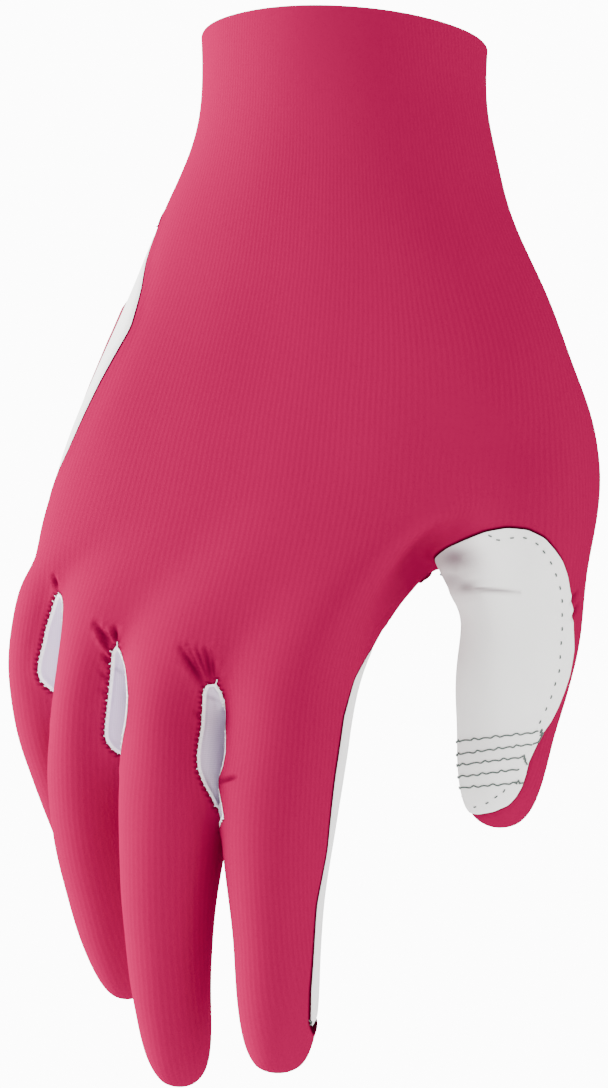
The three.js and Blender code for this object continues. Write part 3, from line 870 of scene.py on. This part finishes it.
# %% [markdown]
# ## Distances to the seams
# Every finish and every fold near a seam needs to know how far away the seam is, and of which kind
# it is: the bound rim of a mesh gusset, the edge of the thumb patch, the knit's edge over the white
# leather, or the plain side seam of the cuff.

# %% Measure every point from the seams
bm = open_mesh(skin)
bm.normal_update()
skin_tree = BVHTree.FromBMesh(bm)
skin_places = np.array([vert.co for vert in bm.verts])
skin_normals = np.array([vert.normal for vert in bm.verts])


def on_skin(x, y):
    """The point of the finished skin at one place of the picture, and its normal."""
    place, normal = on_surface(skin_tree, x, y)
    if place is None:
        raise ValueError(f"nothing of the glove lies at {x}, {y} in the picture")
    return place, normal


seam_kinds = {
    "window": lambda meeting: bool(meeting & mesh_panels),
    "patch": lambda meeting: panel_index["thumb_panel"] in meeting,
    "edge": lambda meeting: panel_index["palm_panel"] in meeting and bool(meeting & pink_panels),
    "side": lambda meeting: meeting == pink_panels,
}
seam_mm = {}
for kind, wanted in seam_kinds.items():
    samples = seam_samples(bm, wanted)
    tree = tree_of(samples)
    seam_mm[kind] = np.array([tree.find(place)[2] for place in skin_places]) / MM
    print(kind, "seams:", len(samples), "samples")
bm.free()

# %% [markdown]
# ## Relief
# Each panel gets the low relief that sewing gives its edges. These helpers shape one edge each, by
# the distance from its seam: ease is a smooth step, roll a rounded ridge and tuck a step down. Long
# waves keep the filled glove from looking machined.

# %% Helpers for soft shapes
wave_count = 7
wave_sizes = (0.7, 1.6)
full_turn = 6.28


def ease(distance, start, end):
    """0 up to the start, 1 from the end on, and a smooth rise between."""
    share = np.clip((distance - start) / (end - start), 0, 1)
    return share * share * (3 - 2 * share)


def roll(distance, height, top, foot):
    """A rounded edge: nothing at the seam, its full height at top, and flat again at foot."""
    return height * ease(distance, 0, top) * (1 - ease(distance, top, foot))


def tuck(distance, depth, start, end):
    """An edge that lies deeper: its full depth up to the start, and level again from the end on."""
    return -(depth * (1 - ease(distance, start, end)))


def any_way(draw):
    """A random direction."""
    return Vector([draw.gauss(0, 1) for _ in range(3)])


def slow_waves(places, seed, size, height):
    """A soft unevenness: a few long waves in random directions."""
    draw = random.Random(seed)
    total = np.zeros(len(places))
    for _ in range(wave_count):
        way = any_way(draw).normalized()
        length = size * draw.uniform(*wave_sizes) * MM
        total += np.sin(places @ np.array(way) * (2 * math.pi / length) + draw.uniform(0, full_turn))
    return total * height / wave_count


waves = slow_waves(skin_places, seed=4, size=24, height=0.3)
print("waves up to", round(float(np.abs(waves).max()), 2), "mm high")

# %% [markdown]
# A crease is deepest in its middle and shallower at its ends. Its depth also sets a painted shade that
# darkens the cloth, so the same numbers go to the finishes later. A hollow is round in the picture, so
# it is measured there, and only on the side of the glove that shows it; it is pressed in and gets
# painted shade too.

# %% Press in the creases and hollows
turned_away = 0.2
end_swell = 0.35
end_share = 0.06
ridge_at, ridge_width, ridge_share = 1.9, 0.9, 0.4
# Depths in millimetres at which the painted shade of a crease and of a hollow is full
full_crease_shade_depth = 0.6
full_hollow_shade_depth = 1.1
hollow_fades = (8, 14)

crease_height = np.zeros(len(skin_places))
crease_shade = np.zeros(len(skin_places))
for name, (_, _, _, _, width, depth) in creases.items():
    share, across = np.zeros(len(skin_places)), np.full(len(skin_places), np.inf)
    line = np.array(crease_line[name])
    for step, (start, end) in enumerate(zip(line[:-1], line[1:])):
        part = np.clip(((skin_places - start) @ (end - start)) / ((end - start) @ (end - start)), 0, 1)
        away = np.linalg.norm(skin_places - start - part[:, None] * (end - start), axis=1) / MM / width
        share = np.where(away < across, (step + part) / crease_steps, share)
        across = np.minimum(across, away)
    facing = skin_normals @ np.array(crease_normal[name]) > turned_away
    arch = np.sin(math.pi * np.clip(share, end_share, 1 - end_share))
    swell = np.where(facing, end_swell + (1 - end_swell) * arch, 0)
    valley = np.exp(-across ** 2)
    ridge = np.exp(-((across - ridge_at) / ridge_width) ** 2)
    crease_height += depth * swell * (ridge_share * ridge - valley)
    crease_shade = np.maximum(crease_shade, swell * valley * min(1, depth / full_crease_shade_depth))

hollow_depth = np.zeros(len(skin_places))
hollow_shade = np.zeros(len(skin_places))
seen_places = np.array([in_picture(Vector(place)) for place in skin_places])
for x, y, half_width, half_height, depth in hollows.values():
    place, normal = on_skin(x, y)
    away = np.hypot((seen_places[:, 0] - x) / half_width, (seen_places[:, 1] - y) / half_height)
    near_mm = np.linalg.norm(skin_places - np.array(place), axis=1) / MM
    facing = skin_normals @ np.array(normal) > turned_away
    dip = np.exp(-away ** 2) * (1 - ease(near_mm, *hollow_fades)) * facing
    hollow_depth += depth * dip
    hollow_shade = np.maximum(hollow_shade, min(1, depth / full_hollow_shade_depth) * dip)
print("deepest crease", round(-crease_height.min(), 2), "mm and hollow", round(hollow_depth.max(), 2), "mm")

# %% [markdown]
# The knit is folded under and rolls over the white leather, which tucks in beneath it. The thumb
# patch lies on top of the knit, and the mesh sits deeper than its bound rim. At the web between the
# thumb and the first finger the palm comes up to meet the knit, and no painted seam shade shows there.

# %% Shape the edges of each panel
web_place = (426, 574)
web_reach = 7.0
web_lift = 0.6
# Added at the web to the distance from the knit's edge, in millimetres, so that no painted seam shade shows
# there
web_shade_clear = 2.0
patch_lift = 0.3
patch_roll, patch_roll_end = 0.12, 0.5
rim_lift, rim_end = 0.12, 0.5
mesh_depth, mesh_start = 0.75, 1.7


def sewn_edges(*edges):
    """A panel's height: its waves, its creases and its edges, each a shape, a kind of seam and sizes."""
    height = waves + crease_height
    for shape, kind, *sizes in edges:
        height = height + shape(seam_mm[kind], *sizes)
    return height


web_mm = np.linalg.norm(skin_places - np.array(on_surface(packed_skin, *web_place)[0]), axis=1) / MM
web_near = np.exp(-(web_mm / web_reach) ** 2)
relief = {
    "back_panel": sewn_edges((roll, "edge", 0.3, 0.8, 3.4), (roll, "window", 0.22, 0.7, 2.6),
                             (tuck, "patch", 0.3, 0.3, 1.6), (tuck, "side", 0.2, 0, 0.9)),
    "palm_panel": sewn_edges((tuck, "edge", 0.5, 0, 1.8), (roll, "window", 0.15, 0.6, 2.0),
                             (tuck, "patch", 0.3, 0.3, 1.6)) + web_lift * web_near,
    "thumb_panel": (waves + crease_height - hollow_depth + patch_lift
                    + patch_roll * ease(seam_mm["patch"], 0, patch_roll_end)),
}
relief["cuff_underside"] = relief["back_panel"]
for node in gussets:
    relief[node] = rim_lift - mesh_depth * ease(seam_mm["window"], rim_end, mesh_start)
for node, heights in relief.items():
    print(node, "relief from", round(float(heights.min()), 2), "to", round(float(heights.max()), 2), "mm")

# %% [markdown]
# ## The panels
# Now the skin is cut into its real pieces again, and each gets its wall of cloth, laid inwards. How
# far every point is from its seams, and how much painted shade its creases and hollows give, is kept on
# the mesh for the finishes.

# %% Cut the panels
cloth_walls = {"palm_panel": 0.5, "thumb_panel": 0.7}
plain_wall = 0.7
farthest_mm = 20.0
crisp_angle = math.radians(48)
point_data = {
    "edge_mm": seam_mm["edge"] + web_shade_clear * web_near,
    "window_mm": seam_mm["window"],
    "patch_mm": seam_mm["patch"],
    "side_mm": seam_mm["side"],
    # Painted shade from the creases and hollows
    "crease": crease_shade,
    "hollow": hollow_shade,
}
panels, panel_trees = {}, {}
for node, place in panel_index.items():
    piece = add_object(node + "_cloth", skin.data.copy())
    moved = skin_places + skin_normals * (relief[node] * MM)[:, None]
    piece.data.vertices.foreach_set("co", moved.ravel())
    for name, values in point_data.items():
        layer = piece.data.attributes.new(name, "FLOAT", "POINT")
        layer.data.foreach_set("value", np.minimum(values, farthest_mm))
    bm = open_mesh(piece)
    others = [face for face in bm.faces if face.material_index != place]
    bmesh.ops.delete(bm, geom=others, context="FACES")
    for face in bm.faces:
        face.material_index = 0
    panel_trees[node] = BVHTree.FromBMesh(bm)
    close_mesh(bm, piece)
    piece.data.materials.clear()
    wall = cloth_walls.get(node, plain_wall) * MM
    apply_modifier(piece, "SOLIDIFY", thickness=wall, offset=-1, use_rim=True)
    bpy.ops.object.shade_smooth_by_angle(angle=crisp_angle)
    panels[node] = piece
    print(piece.name, "has", len(piece.data.polygons), "faces")
bpy.data.objects.remove(skin)

# %% [markdown]
# The heel of the palm carries a thin pad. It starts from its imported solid's outer side, is laid on
# the palm as it now is, and rises over its first millimetre from a flat sewn edge.

# %% Lay the heel pad on the palm
pad_wall = 1.2
pad_cover = 0.4
pad_cuts = 5
pad_foot = 0.2
pad_rise = 0.6
pad_edge = 1.2
pad = copy_of("heel_pad", "heel_pad_cover")
print("heel pad has", keep_outer_side(pad, pad_wall), "sides")
bm = open_mesh(pad)
bmesh.ops.subdivide_edges(bm, edges=bm.edges[:], cuts=pad_cuts, use_grid_fill=True)
border = tree_of([vert.co.copy() for vert in bm.verts if vert.is_boundary])
from_border = {vert: border.find(vert.co)[2] / MM for vert in bm.verts}
for vert, away in from_border.items():
    place, normal, _, _ = panel_trees["palm_panel"].find_nearest(vert.co)
    vert.co = place + normal * (pad_foot + pad_rise * float(ease(away, 0, pad_edge))) * MM
close_mesh(bm, pad)
apply_modifier(pad, "SOLIDIFY", thickness=pad_cover * MM, offset=-1, use_rim=True)
bpy.ops.object.shade_smooth_by_angle(angle=crisp_angle)
print(pad.name, "has", len(pad.data.polygons), "faces")

# %% [markdown]
# ## Thread
# All sewing thread is drawn as thin round cords. A line of points, each lying just above the cloth,
# becomes a curve with a round section, and the curves of one kind become one mesh.

# %% Helpers that lay threads
# A stitch from end to end: how far along its length, and how high over the cloth
stitch_arch = [(-0.5, -0.5), (-0.4, 0.6), (-0.15, 1.0), (0.15, 1.0), (0.4, 0.6), (0.5, -0.5)]


def lay_threads(name, lines, thickness):
    """One mesh of round cords through lines of points."""
    curve = bpy.data.curves.new(name, "CURVE")
    curve.dimensions = "3D"
    curve.bevel_depth = thickness / 2 * MM
    curve.bevel_resolution = 1
    curve.use_fill_caps = True
    for line in lines:
        spline = curve.splines.new("POLY")
        spline.points.add(len(line) - 1)
        for point, place in zip(spline.points, line):
            point.co = (*place, 1)
    thread = add_object(name, curve)
    select_only(thread)
    bpy.ops.object.convert(target="MESH")
    bpy.ops.object.shade_smooth()
    print(name, "has", len(lines), "threads and", len(thread.data.polygons), "faces")
    return thread


def stitch_line(tree, middle, way, length, lift):
    """A short stitch that dips into the cloth at both ends."""
    place, normal, _, _ = tree.find_nearest(middle)
    way = (way - normal * way.dot(normal)).normalized()
    return [place + way * (share * length * MM) + normal * (rise * lift * MM)
            for share, rise in stitch_arch]


def knots_at(tree, spots, draw, length, lift):
    """Short stitches in random directions at places of the picture."""
    places = [on_surface(tree, *spot)[0] for spot in spots]
    return [stitch_line(tree, place, any_way(draw), length, lift) for place in places if place is not None]


# %% [markdown]
# The thumb patch is sewn on with a row of single grey stitches about three millimetres apart, two
# and a half millimetres in from its edge. On the side that the camera sees they stand where the
# picture shows them; round the far side they keep the same spacing.

# %% Sew the thumb patch
patch_stitches = (
    (490, 536), (498, 540), (512, 538), (525, 538), (537, 544), (544, 552), (551, 563), (556, 575),
    (560, 588), (562, 601), (562, 615), (562, 629), (561, 643), (560, 657), (559, 671), (555, 684),
    (551, 697), (546, 709), (540, 722), (504, 791), (496, 797), (487, 803), (475, 807),
)
stitch_inset = 2.5
inset_slack = 0.35
stitch_spacing = 3.0
stitch_size = 0.65
stitch_lift = 0.14
stitch_thickness = 0.32
far_side = 0.1
patch_near = 0.6 * MM
at_edge = 0.05
patch_tree = panel_trees["thumb_panel"]
stitches = []
for before, here, after in zip(patch_stitches[:1] + patch_stitches, patch_stitches,
                               patch_stitches[1:] + patch_stitches[-1:]):
    place, _ = on_surface(patch_tree, *here)
    way = on_surface(patch_tree, *after)[0] - on_surface(patch_tree, *before)[0]
    stitches.append((place, way))
patch_edge = tree_of([Vector(place) for place, near in zip(skin_places, seam_mm["patch"])
                      if near < at_edge])
for place, normal, near in zip(skin_places, skin_normals, seam_mm["patch"]):
    place, normal = Vector(place), Vector(normal)
    if abs(near - stitch_inset) > inset_slack or normal.dot(towards_viewer) > far_side:
        continue
    on_patch, _, _, away = patch_tree.find_nearest(place)
    if away > patch_near or any((other - on_patch).length < stitch_spacing * MM for other, _ in stitches):
        continue
    stitches.append((on_patch, normal.cross(place - patch_edge.find(place)[0])))
stitch_lines = [stitch_line(patch_tree, place, way, stitch_size, stitch_lift) for place, way in stitches]
thumb_stitches = lay_threads("thumb_stitches", stitch_lines, stitch_thickness)

# %% [markdown]
# Five rows of wavy grip thread cross the end of the thumb. A row swings from side to side by an
# uneven amount. Round the hidden side it goes on in one plane, step by step.

# %% Helpers for the grip thread
grip_thickness = 0.36
grip_raised = 0.3
grip_wave = 2.1
grip_step = 0.3
grip_steps_most = 140
grip_step_least = 0.05
step_spread = (0.6, 1.4)
grip_swing, swing_mean, swing_change = 0.2, 0.8, 0.5
swing_beat, swing_drift = 0.37, 0.11
edge_margin = 2.2
draw = random.Random(12)


def wavy(line):
    """Gives a line on the cloth its small waves and lifts it to lie on top."""
    phase = draw.uniform(0, full_turn)
    result = []
    for count, place in enumerate(line):
        ahead = line[min(count + 1, len(line) - 1)] - line[max(count - 1, 0)]
        _, normal, _, _ = patch_tree.find_nearest(place)
        side = normal.cross(ahead).normalized()
        phase += 2 * math.pi * grip_step / grip_wave * draw.uniform(*step_spread)
        drift = math.sin(phase * swing_beat + count * swing_drift)
        swing = grip_swing * (swing_mean + swing_change * drift)
        lift = normal * (grip_thickness * grip_raised * MM)
        result.append(place + side * (math.sin(phase) * swing * MM) + lift)
    return result


def round_the_back(place, way):
    """Steps on over the cloth in one plane until the patch's edge comes near."""
    _, normal, _, _ = patch_tree.find_nearest(place)
    across = normal.cross(way).normalized()
    line = []
    for _ in range(grip_steps_most):
        following = patch_tree.find_nearest(place + way * grip_step * MM)[0]
        way = following - place
        way = (way - across * way.dot(across)).normalized()
        stuck = (following - place).length < grip_step_least * MM
        if stuck or patch_edge.find(following)[2] < edge_margin * MM:
            break
        line.append(following)
        place = following
    return line


print("the grip thread is", grip_thickness, "mm thick, with a wave every", grip_wave, "mm")

# %% [markdown]
# The picture gives each row from the thumb's outline to its end near the patch's edge. From the
# outline on, each row goes round the hidden side until it comes near the edge again. The ends of the
# rows are knotted, and the first two rows are one thread that turns back.

# %% Lay the grip thread
# Left end and right end of each row in the picture
grip_rows = (((460, 741), (538, 732)), ((460, 754), (532, 744)), ((460, 765), (523, 757)),
             ((460, 777), (519, 769)), ((460, 788), (517, 783)))
grip_turn = ((540, 731), (543, 733), (542, 738), (538, 742), (533, 744))
grip_knots = ((525, 760), (524, 757), (526, 763), (519, 782),
              (516, 782), (521, 783), (541, 734), (541, 731))
pixels_a_step = 1.42
turn_lift = 0.12
grip_knot, grip_knot_lift = 0.9, 0.25

rows_of_grip = []
for (x0, y0), (x1, y1) in grip_rows:
    steps = int(math.hypot(x1 - x0, y1 - y0) / pixels_a_step)
    seen = [on_surface(patch_tree, x1 + (x0 - x1) * step / steps, y1 + (y0 - y1) * step / steps)[0]
            for step in range(steps + 1)]
    seen = [place for place in seen if place is not None]
    rows_of_grip.append(wavy(seen + round_the_back(seen[-1], (seen[-1] - seen[-3]).normalized())))
turn = [on_surface(patch_tree, x, y)[0] for x, y in grip_turn]
rows_of_grip.append([place + patch_tree.find_nearest(place)[1] * (turn_lift * MM)
                     for place in turn if place is not None])
rows_of_grip += knots_at(patch_tree, grip_knots, draw, grip_knot, grip_knot_lift)
grip_thread = lay_threads("grip_thread", rows_of_grip, grip_thickness)

# %% [markdown]
# The mesh is sewn in with a white overlock stitch: a short thread over the edge every millimetre,
# slanting to one side and then to the other. Each thread runs from the knit's edge towards the
# nearest place inside the window.

# %% Overlock the mesh
overlock_spacing = 1.15
overlock_slant = 0.35
overlock_thickness = 0.27
# How far in from the edge, and how high over the cloth, in millimetres
overlock_arch = [(-0.22, -0.25), (-0.1, 0.16), (0.15, 0.22), (0.5, 0.05), (0.85, -0.5)]
on_the_seam = 0.02
well_inside = (0.9, 1.7)
window_near = 0.8 * MM
inside_near = 1.0 * MM
edge_of_sight = (-0.5, 0.08)
overlock = []
facings = skin_normals @ np.array(towards_viewer)
for window in (panel_trees[node] for node in gussets):
    inside = [Vector(place) for place, near in zip(skin_places, seam_mm["window"])
              if well_inside[0] < near < well_inside[1]]
    inside = tree_of([place for place in inside if window.find_nearest(place)[3] < inside_near])
    placed = []
    for place, near, facing in zip(skin_places, seam_mm["window"], facings):
        place = Vector(place)
        if (near > on_the_seam or window.find_nearest(place)[3] > window_near
                or edge_of_sight[0] < facing < edge_of_sight[1]):
            continue
        if any((other - place).length < overlock_spacing * MM for other in placed):
            continue
        placed.append(place)
        target, _, _ = inside.find(place)
        surface, normal, _, _ = skin_tree.find_nearest(place)
        way = (target - place).normalized()
        side = normal.cross(way) * (overlock_slant if len(placed) % 2 else -overlock_slant)
        way = (way + side).normalized()
        overlock.append([surface + way * share * MM + normal * rise * MM for share, rise in overlock_arch])
overlock_thread = lay_threads("overlock_thread", overlock, overlock_thickness)

# %% [markdown]
# At the lower end of the first finger's side seam, the sewing thread shows as small grey knots.

# %% Knot the side seam
seam_knot_places = ((309, 1021), (310, 1023), (317, 1022), (318, 1024))
seam_knot, seam_knot_lift = 1.0, 0.4
seam_knot_thickness = 0.3
seam_knots = knots_at(skin_tree, seam_knot_places, draw, seam_knot, seam_knot_lift)
seam_knot_thread = lay_threads("seam_knots", seam_knots, seam_knot_thickness)

# %% [markdown]
# ## Materials as sums
# A finish is easier to read as arithmetic than as a net of nodes. Value wraps one socket, so that
# numbers and sockets can be added and multiplied in plain Python.

# %% A helper for sums
class Value:
    """A number or colour that varies over a surface. Arithmetic on it adds Math nodes."""

    def __init__(self, finish, socket):
        self.finish, self.socket = finish, socket

    def math(self, operation, *others):
        return self.finish.node("ShaderNodeMath", {"operation": operation},
                                dict(enumerate((self, *others))))

    def most(self, *others):
        """The largest of several values."""
        total = self
        for other in others:
            total = total.math("MAXIMUM", other)
        return total

    def __add__(self, other):
        return self.math("ADD", other)

    def __sub__(self, other):
        return self.math("SUBTRACT", other)

    def __rsub__(self, other):
        return self.finish.node("ShaderNodeMath", {"operation": "SUBTRACT"}, {0: other, 1: self})

    def __mul__(self, other):
        return self.math("MULTIPLY", other)

    __radd__ = __add__
    __rmul__ = __mul__


# %% [markdown]
# Finish makes every other node from its type, its settings and its sockets, and in the end it feeds
# the shader.

# %% A helper for materials
class Finish:
    """A material, its shader and the nodes that feed it."""

    def __init__(self, name):
        self.material = bpy.data.materials.new(name)
        self.material.use_nodes = True
        self.tree = self.material.node_tree
        self.shader = self.tree.nodes["Principled BSDF"]

    def feed(self, socket, value):
        """Links a socket to a value that varies, or sets it to one that doesn't."""
        if isinstance(value, Value):
            self.tree.links.new(value.socket, socket)
        else:
            socket.default_value = value

    def node(self, kind, settings=None, sockets=None, output=0):
        made = self.tree.nodes.new(kind)
        for name, value in (settings or {}).items():
            setattr(made, name, value)
        for name, value in (sockets or {}).items():
            self.feed(made.inputs[name], value)
        return Value(self, made.outputs[output])

    def attribute(self, name):
        return self.node("ShaderNodeAttribute", {"attribute_name": name}, output="Fac")

    def flat(self):
        """The two flat coordinates of the cloth pattern, in millimetres."""
        uv = self.node("ShaderNodeUVMap", {"uv_map": "UVMap"})
        parts = self.tree.nodes.new("ShaderNodeSeparateXYZ")
        self.feed(parts.inputs[0], uv)
        return [Value(self, parts.outputs[axis]) * 1000 for axis in "XY"]

    def noise(self, size_mm, detail=2.0):
        place = self.node("ShaderNodeTexCoord", output="Object")
        return self.node("ShaderNodeTexNoise", {}, {"Vector": place, "Scale": 1000 / size_mm,
                                                    "Detail": detail}, output="Fac")

    def rise(self, value, start, end):
        """0 up to the start, 1 from the end on, and a smooth rise between."""
        return self.node("ShaderNodeMapRange", {"interpolation_type": "SMOOTHSTEP", "clamp": True},
                         {"Value": value, "From Min": start, "From Max": end})

    def near(self, kind, start, end):
        """1 up to the start from a kind of seam, and 0 from the end on, in millimetres."""
        return 1 - self.rise(self.attribute(kind + "_mm"), start, end)

    def blend(self, first, second, share):
        """A colour on the way from the first to the second."""
        return self.node("ShaderNodeMix", {"data_type": "RGBA"}, {0: share, 6: first, 7: second}, output=2)

    def bump(self, height, depth_mm, strength=1.0):
        """A normal from a height between 0 and 1, at its real depth."""
        return self.node("ShaderNodeBump", {}, {"Height": height, "Distance": depth_mm * MM,
                                                "Strength": strength})

    def set(self, **sockets):
        for name, value in sockets.items():
            self.feed(self.shader.inputs[name.replace("_", " ")], value)
        print(self.material.name, "has", len(self.tree.nodes), "nodes")
        return self.material


def colour(red, green, blue):
    """A colour as a screen's three numbers from 0 to 255, turned into light."""
    return tuple(part / 12.92 if part <= 0.04045 else ((part + 0.055) / 1.055) ** 2.4
                 for part in (red / 255, green / 255, blue / 255)) + (1.0,)


# %% [markdown]
# ## The knit
# A warp knit shows as fine ribs down the back, each about a millimetre wide and made of small loops
# set one under the next. The grooves between ribs get a painted shade and lie a little deeper than
# their tops. Towards each kind of seam the knit turns under, and a painted shade darkens it by how far
# each reaches and how strongly. Beside a mesh window it gets the painted shade of small even gathered
# folds, and its creases get painted shade as well.

# %% Make the knit finish
rib_mm = 1.0
loop_mm = 0.72
gather_mm = 1.2
wander_size, wander_mm = 14, 0.5
squeezed_ribs = (0.11, 0.26)
loop_bend, loop_share = 2.4, 0.35
# Painted shade by each kind of seam, where the knit turns under: full up to and gone from in millimetres,
# then strength
seam_shades = {"edge": (0.7, 1.35, 1.0), "patch": (0.15, 0.8, 1.0), "window": (0.05, 0.7, 0.6),
              "side": (0.1, 0.5, 0.7)}
# Painted shade of small gathered folds beside a mesh window: reach in millimetres, then strength
gather_reach, gather_shade_strength = (0.3, 1.5), 0.7
# How strong the painted shade in the knit's creases is
knit_crease_shade = 0.65
# How strongly the painted shade darkens the grooves between ribs
groove_shade = 0.2
patch_size, patch_spread, patch_light = 16, (0.45, 0.75), 0.35
fuzz_size, fuzz_spread, fuzz_dark = 0.5, (0.5, 0.8), 0.18
fuzz_height = 0.2
rib_depth, rib_strength = 0.1, 0.22
# How dark the knit's painted shade gets at seams, gathers and creases
knit_shade_darkness = 0.22


def knit_finish(name, light, dark):
    finish = Finish(name)
    across, down = finish.flat()
    wander = (finish.noise(wander_size, 1.0) - 0.5) * wander_mm
    rib = ((across + wander) * (2 * math.pi / rib_mm)).math("COSINE") * 0.5 + 0.5
    loops = (down * (2 * math.pi / loop_mm) + rib * loop_bend).math("COSINE") * 0.5 + 0.5
    clear = 1 - finish.rise(finish.attribute("squeeze"), *squeezed_ribs)
    body = (rib * (loops * loop_share + (1 - loop_share)) - 0.5) * clear + 0.5
    fuzz = finish.noise(fuzz_size, 2.0)
    # The painted shade of small even gathered folds along a mesh window
    gathers = (down * (2 * math.pi / gather_mm)).math("COSINE") * 0.5 + 0.5
    gathers = gathers * finish.near("window", *gather_reach) * gather_shade_strength
    # Painted shade by each kind of seam
    seams = [finish.near(kind, start, end) * strength
             for kind, (start, end, strength) in seam_shades.items()]
    shade = gathers.most(finish.attribute("crease") * knit_crease_shade, *seams)
    # The grooves between ribs get a painted shade
    ribbed = finish.blend(dark, light, body * groove_shade + (1 - groove_shade))
    patches = finish.rise(finish.noise(patch_size, 3.0), *patch_spread) * patch_light
    varied = finish.blend(ribbed, light, patches)
    fuzzed = finish.blend(varied, dark, finish.rise(fuzz, *fuzz_spread) * fuzz_dark)
    # The colour of the knit's painted shade
    deep = tuple(part * knit_shade_darkness for part in dark[:3]) + (1.0,)
    return finish.set(Base_Color=finish.blend(fuzzed, deep, shade), Roughness=0.82 - body * 0.1,
                      Normal=finish.bump(body + fuzz * fuzz_height, rib_depth, rib_strength),
                      Specular_IOR_Level=0.0)


back_knit = knit_finish("back_knit", (0.265, 0.004, 0.047, 1), (0.155, 0.002, 0.028, 1))
cuff_knit = knit_finish("cuff_knit", (0.26, 0.004, 0.046, 1), (0.15, 0.002, 0.027, 1))

# %% [markdown]
# ## Suede
# The palm and the thumb patch are white synthetic suede: matt, with a fine nap and faint clouds. Its
# creases and hollows get a grey-mauve painted shade, and where it tucks in under the knit it gets the
# same painted shade.

# %% Make the suede finish
nap_mm, nap_grey, nap_depth = 0.35, 0.12, 0.06
cloud_mm, cloud_spread, cloud_grey = 9, (0.45, 0.8), 0.5
# The colour of the suede's painted shade in hollows, creases and tucked edges
suede_shade_colour = colour(118, 96, 106)
suede_tuck = (0.05, 0.45)
# How strong the painted shade is at tucked edges and in creases
tuck_shade, suede_crease_shade = 0.8, 0.85


def suede_finish(name, light, shadow):
    finish = Finish(name)
    nap = finish.noise(nap_mm, 3.0)
    clouds = finish.rise(finish.noise(cloud_mm, 3.0), *cloud_spread)
    base = finish.blend(light, shadow, clouds * cloud_grey + nap * nap_grey)
    # Painted shade where the suede tucks in under the knit, in its creases and in its hollows
    shade = (finish.near("edge", *suede_tuck) * tuck_shade).most(
        finish.attribute("crease") * suede_crease_shade, finish.attribute("hollow"))
    return finish.set(Base_Color=finish.blend(base, suede_shade_colour, shade), Roughness=0.92 - nap * 0.08,
                      Normal=finish.bump(nap, nap_depth, 0.5), Sheen_Weight=0.15, Sheen_Roughness=0.5,
                      Specular_IOR_Level=0.2)


palm_suede = suede_finish("palm_suede", colour(247, 246, 244), colour(236, 232, 232))
thumb_suede = suede_finish("thumb_suede", colour(249, 248, 245), colour(240, 236, 236))

# %% [markdown]
# ## Mesh, pad and thread
# The mesh between the fingers is a lavender-grey net with a bright bound rim. Two waves that cross
# at a slant make its holes, and its folds get a darker painted shade. The pad and the thread are plain
# colours with a fine grain.

# %% Make the other finishes
net_mm, net_depth = 0.8, 0.08
net_rim = (0.55, 0.85)
hole_spread, hole_dark = (0.1, 0.7), 0.5
net_cord, net_hole = colour(216, 202, 222), colour(176, 162, 186)
# The colour of the painted shade in the net's folds, then the white of its bound rim
net_fold_shade, net_edge = colour(140, 124, 150), colour(250, 248, 250)
fold_shade = 0.8
grain_depth = 0.05


def net_finish(name):
    finish = Finish(name)
    across, down = finish.flat()
    one, two = [(slant * (2 * math.pi / net_mm)).math("COSINE")
                for slant in (across + down, across - down)]
    holes = finish.rise(one * two, *hole_spread)
    cloth = finish.blend(net_cord, net_hole, holes * hole_dark)
    # Painted shade in the net's folds
    cloth = finish.blend(cloth, net_fold_shade, finish.attribute("crease") * fold_shade)
    rim = finish.near("window", *net_rim)
    return finish.set(Base_Color=finish.blend(cloth, net_edge, rim), Roughness=0.8,
                      Normal=finish.bump(1 - holes, net_depth, 0.3), Specular_IOR_Level=0.1)


def plain_finish(name, light, dark, grain_mm):
    """One colour with a fine grain, for the pad and the thread."""
    finish = Finish(name)
    grain = finish.noise(grain_mm, 2.0)
    return finish.set(Base_Color=finish.blend(light, dark, grain), Roughness=0.8,
                      Normal=finish.bump(grain, grain_depth, 0.4), Specular_IOR_Level=0.1)


gusset_net = net_finish("gusset_net")
thread_grey = plain_finish("thread_grey", (0.13, 0.16, 0.145, 1), (0.06, 0.075, 0.07, 1), 0.3)
thread_white = plain_finish("thread_white", colour(250, 249, 250), colour(222, 216, 224), 0.3)
pad_cloth = plain_finish("pad_cloth", (0.26, 0.003, 0.045, 1), (0.2, 0.002, 0.033, 1), 0.6)

# %% [markdown]
# Every piece gets its finish. The thread pieces stand for no node of their own, and each is listed
# with the slot of the panel that it is sewn to.

# %% Finish the pieces
panel_finishes = {"back_panel": back_knit, "cuff_underside": cuff_knit,
                  "palm_panel": palm_suede, "thumb_panel": thumb_suede}
for node, piece in panels.items():
    piece.data.materials.append(panel_finishes.get(node, gusset_net))
pad.data.materials.append(pad_cloth)
threads = {thumb_stitches: ("thumb_leather", thread_grey), grip_thread: ("thumb_leather", thread_grey),
           overlock_thread: ("gusset_mesh", thread_white), seam_knot_thread: ("palm_leather", thread_grey)}
for thread, (_, finish) in threads.items():
    thread.data.materials.append(finish)
print(len(panels), "panels,", len(threads), "kinds of thread and a pad finished")

# %% [markdown]
# ## Everything on the frame
# The glove has no joints, so every piece rides on the root body. Each panel and the pad stand for
# their own nodes, which are hidden; the panels' slots are only listed.

# %% Put the pieces on the frame
panel_slots = {"back_panel": "back_knit", "cuff_underside": "cuff_knit", "palm_panel": "palm_leather",
               "thumb_panel": "thumb_leather", **dict.fromkeys(gussets, "gusset_mesh")}
for node, piece in panels.items():
    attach(piece, "root")
    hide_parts(node)
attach(pad, "root")
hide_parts("heel_pad")
for thread, (slot, _) in threads.items():
    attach(thread, "root")
print(len(panels) + 1, "pieces stand for their nodes, and", len(threads), "kinds of thread ride along")
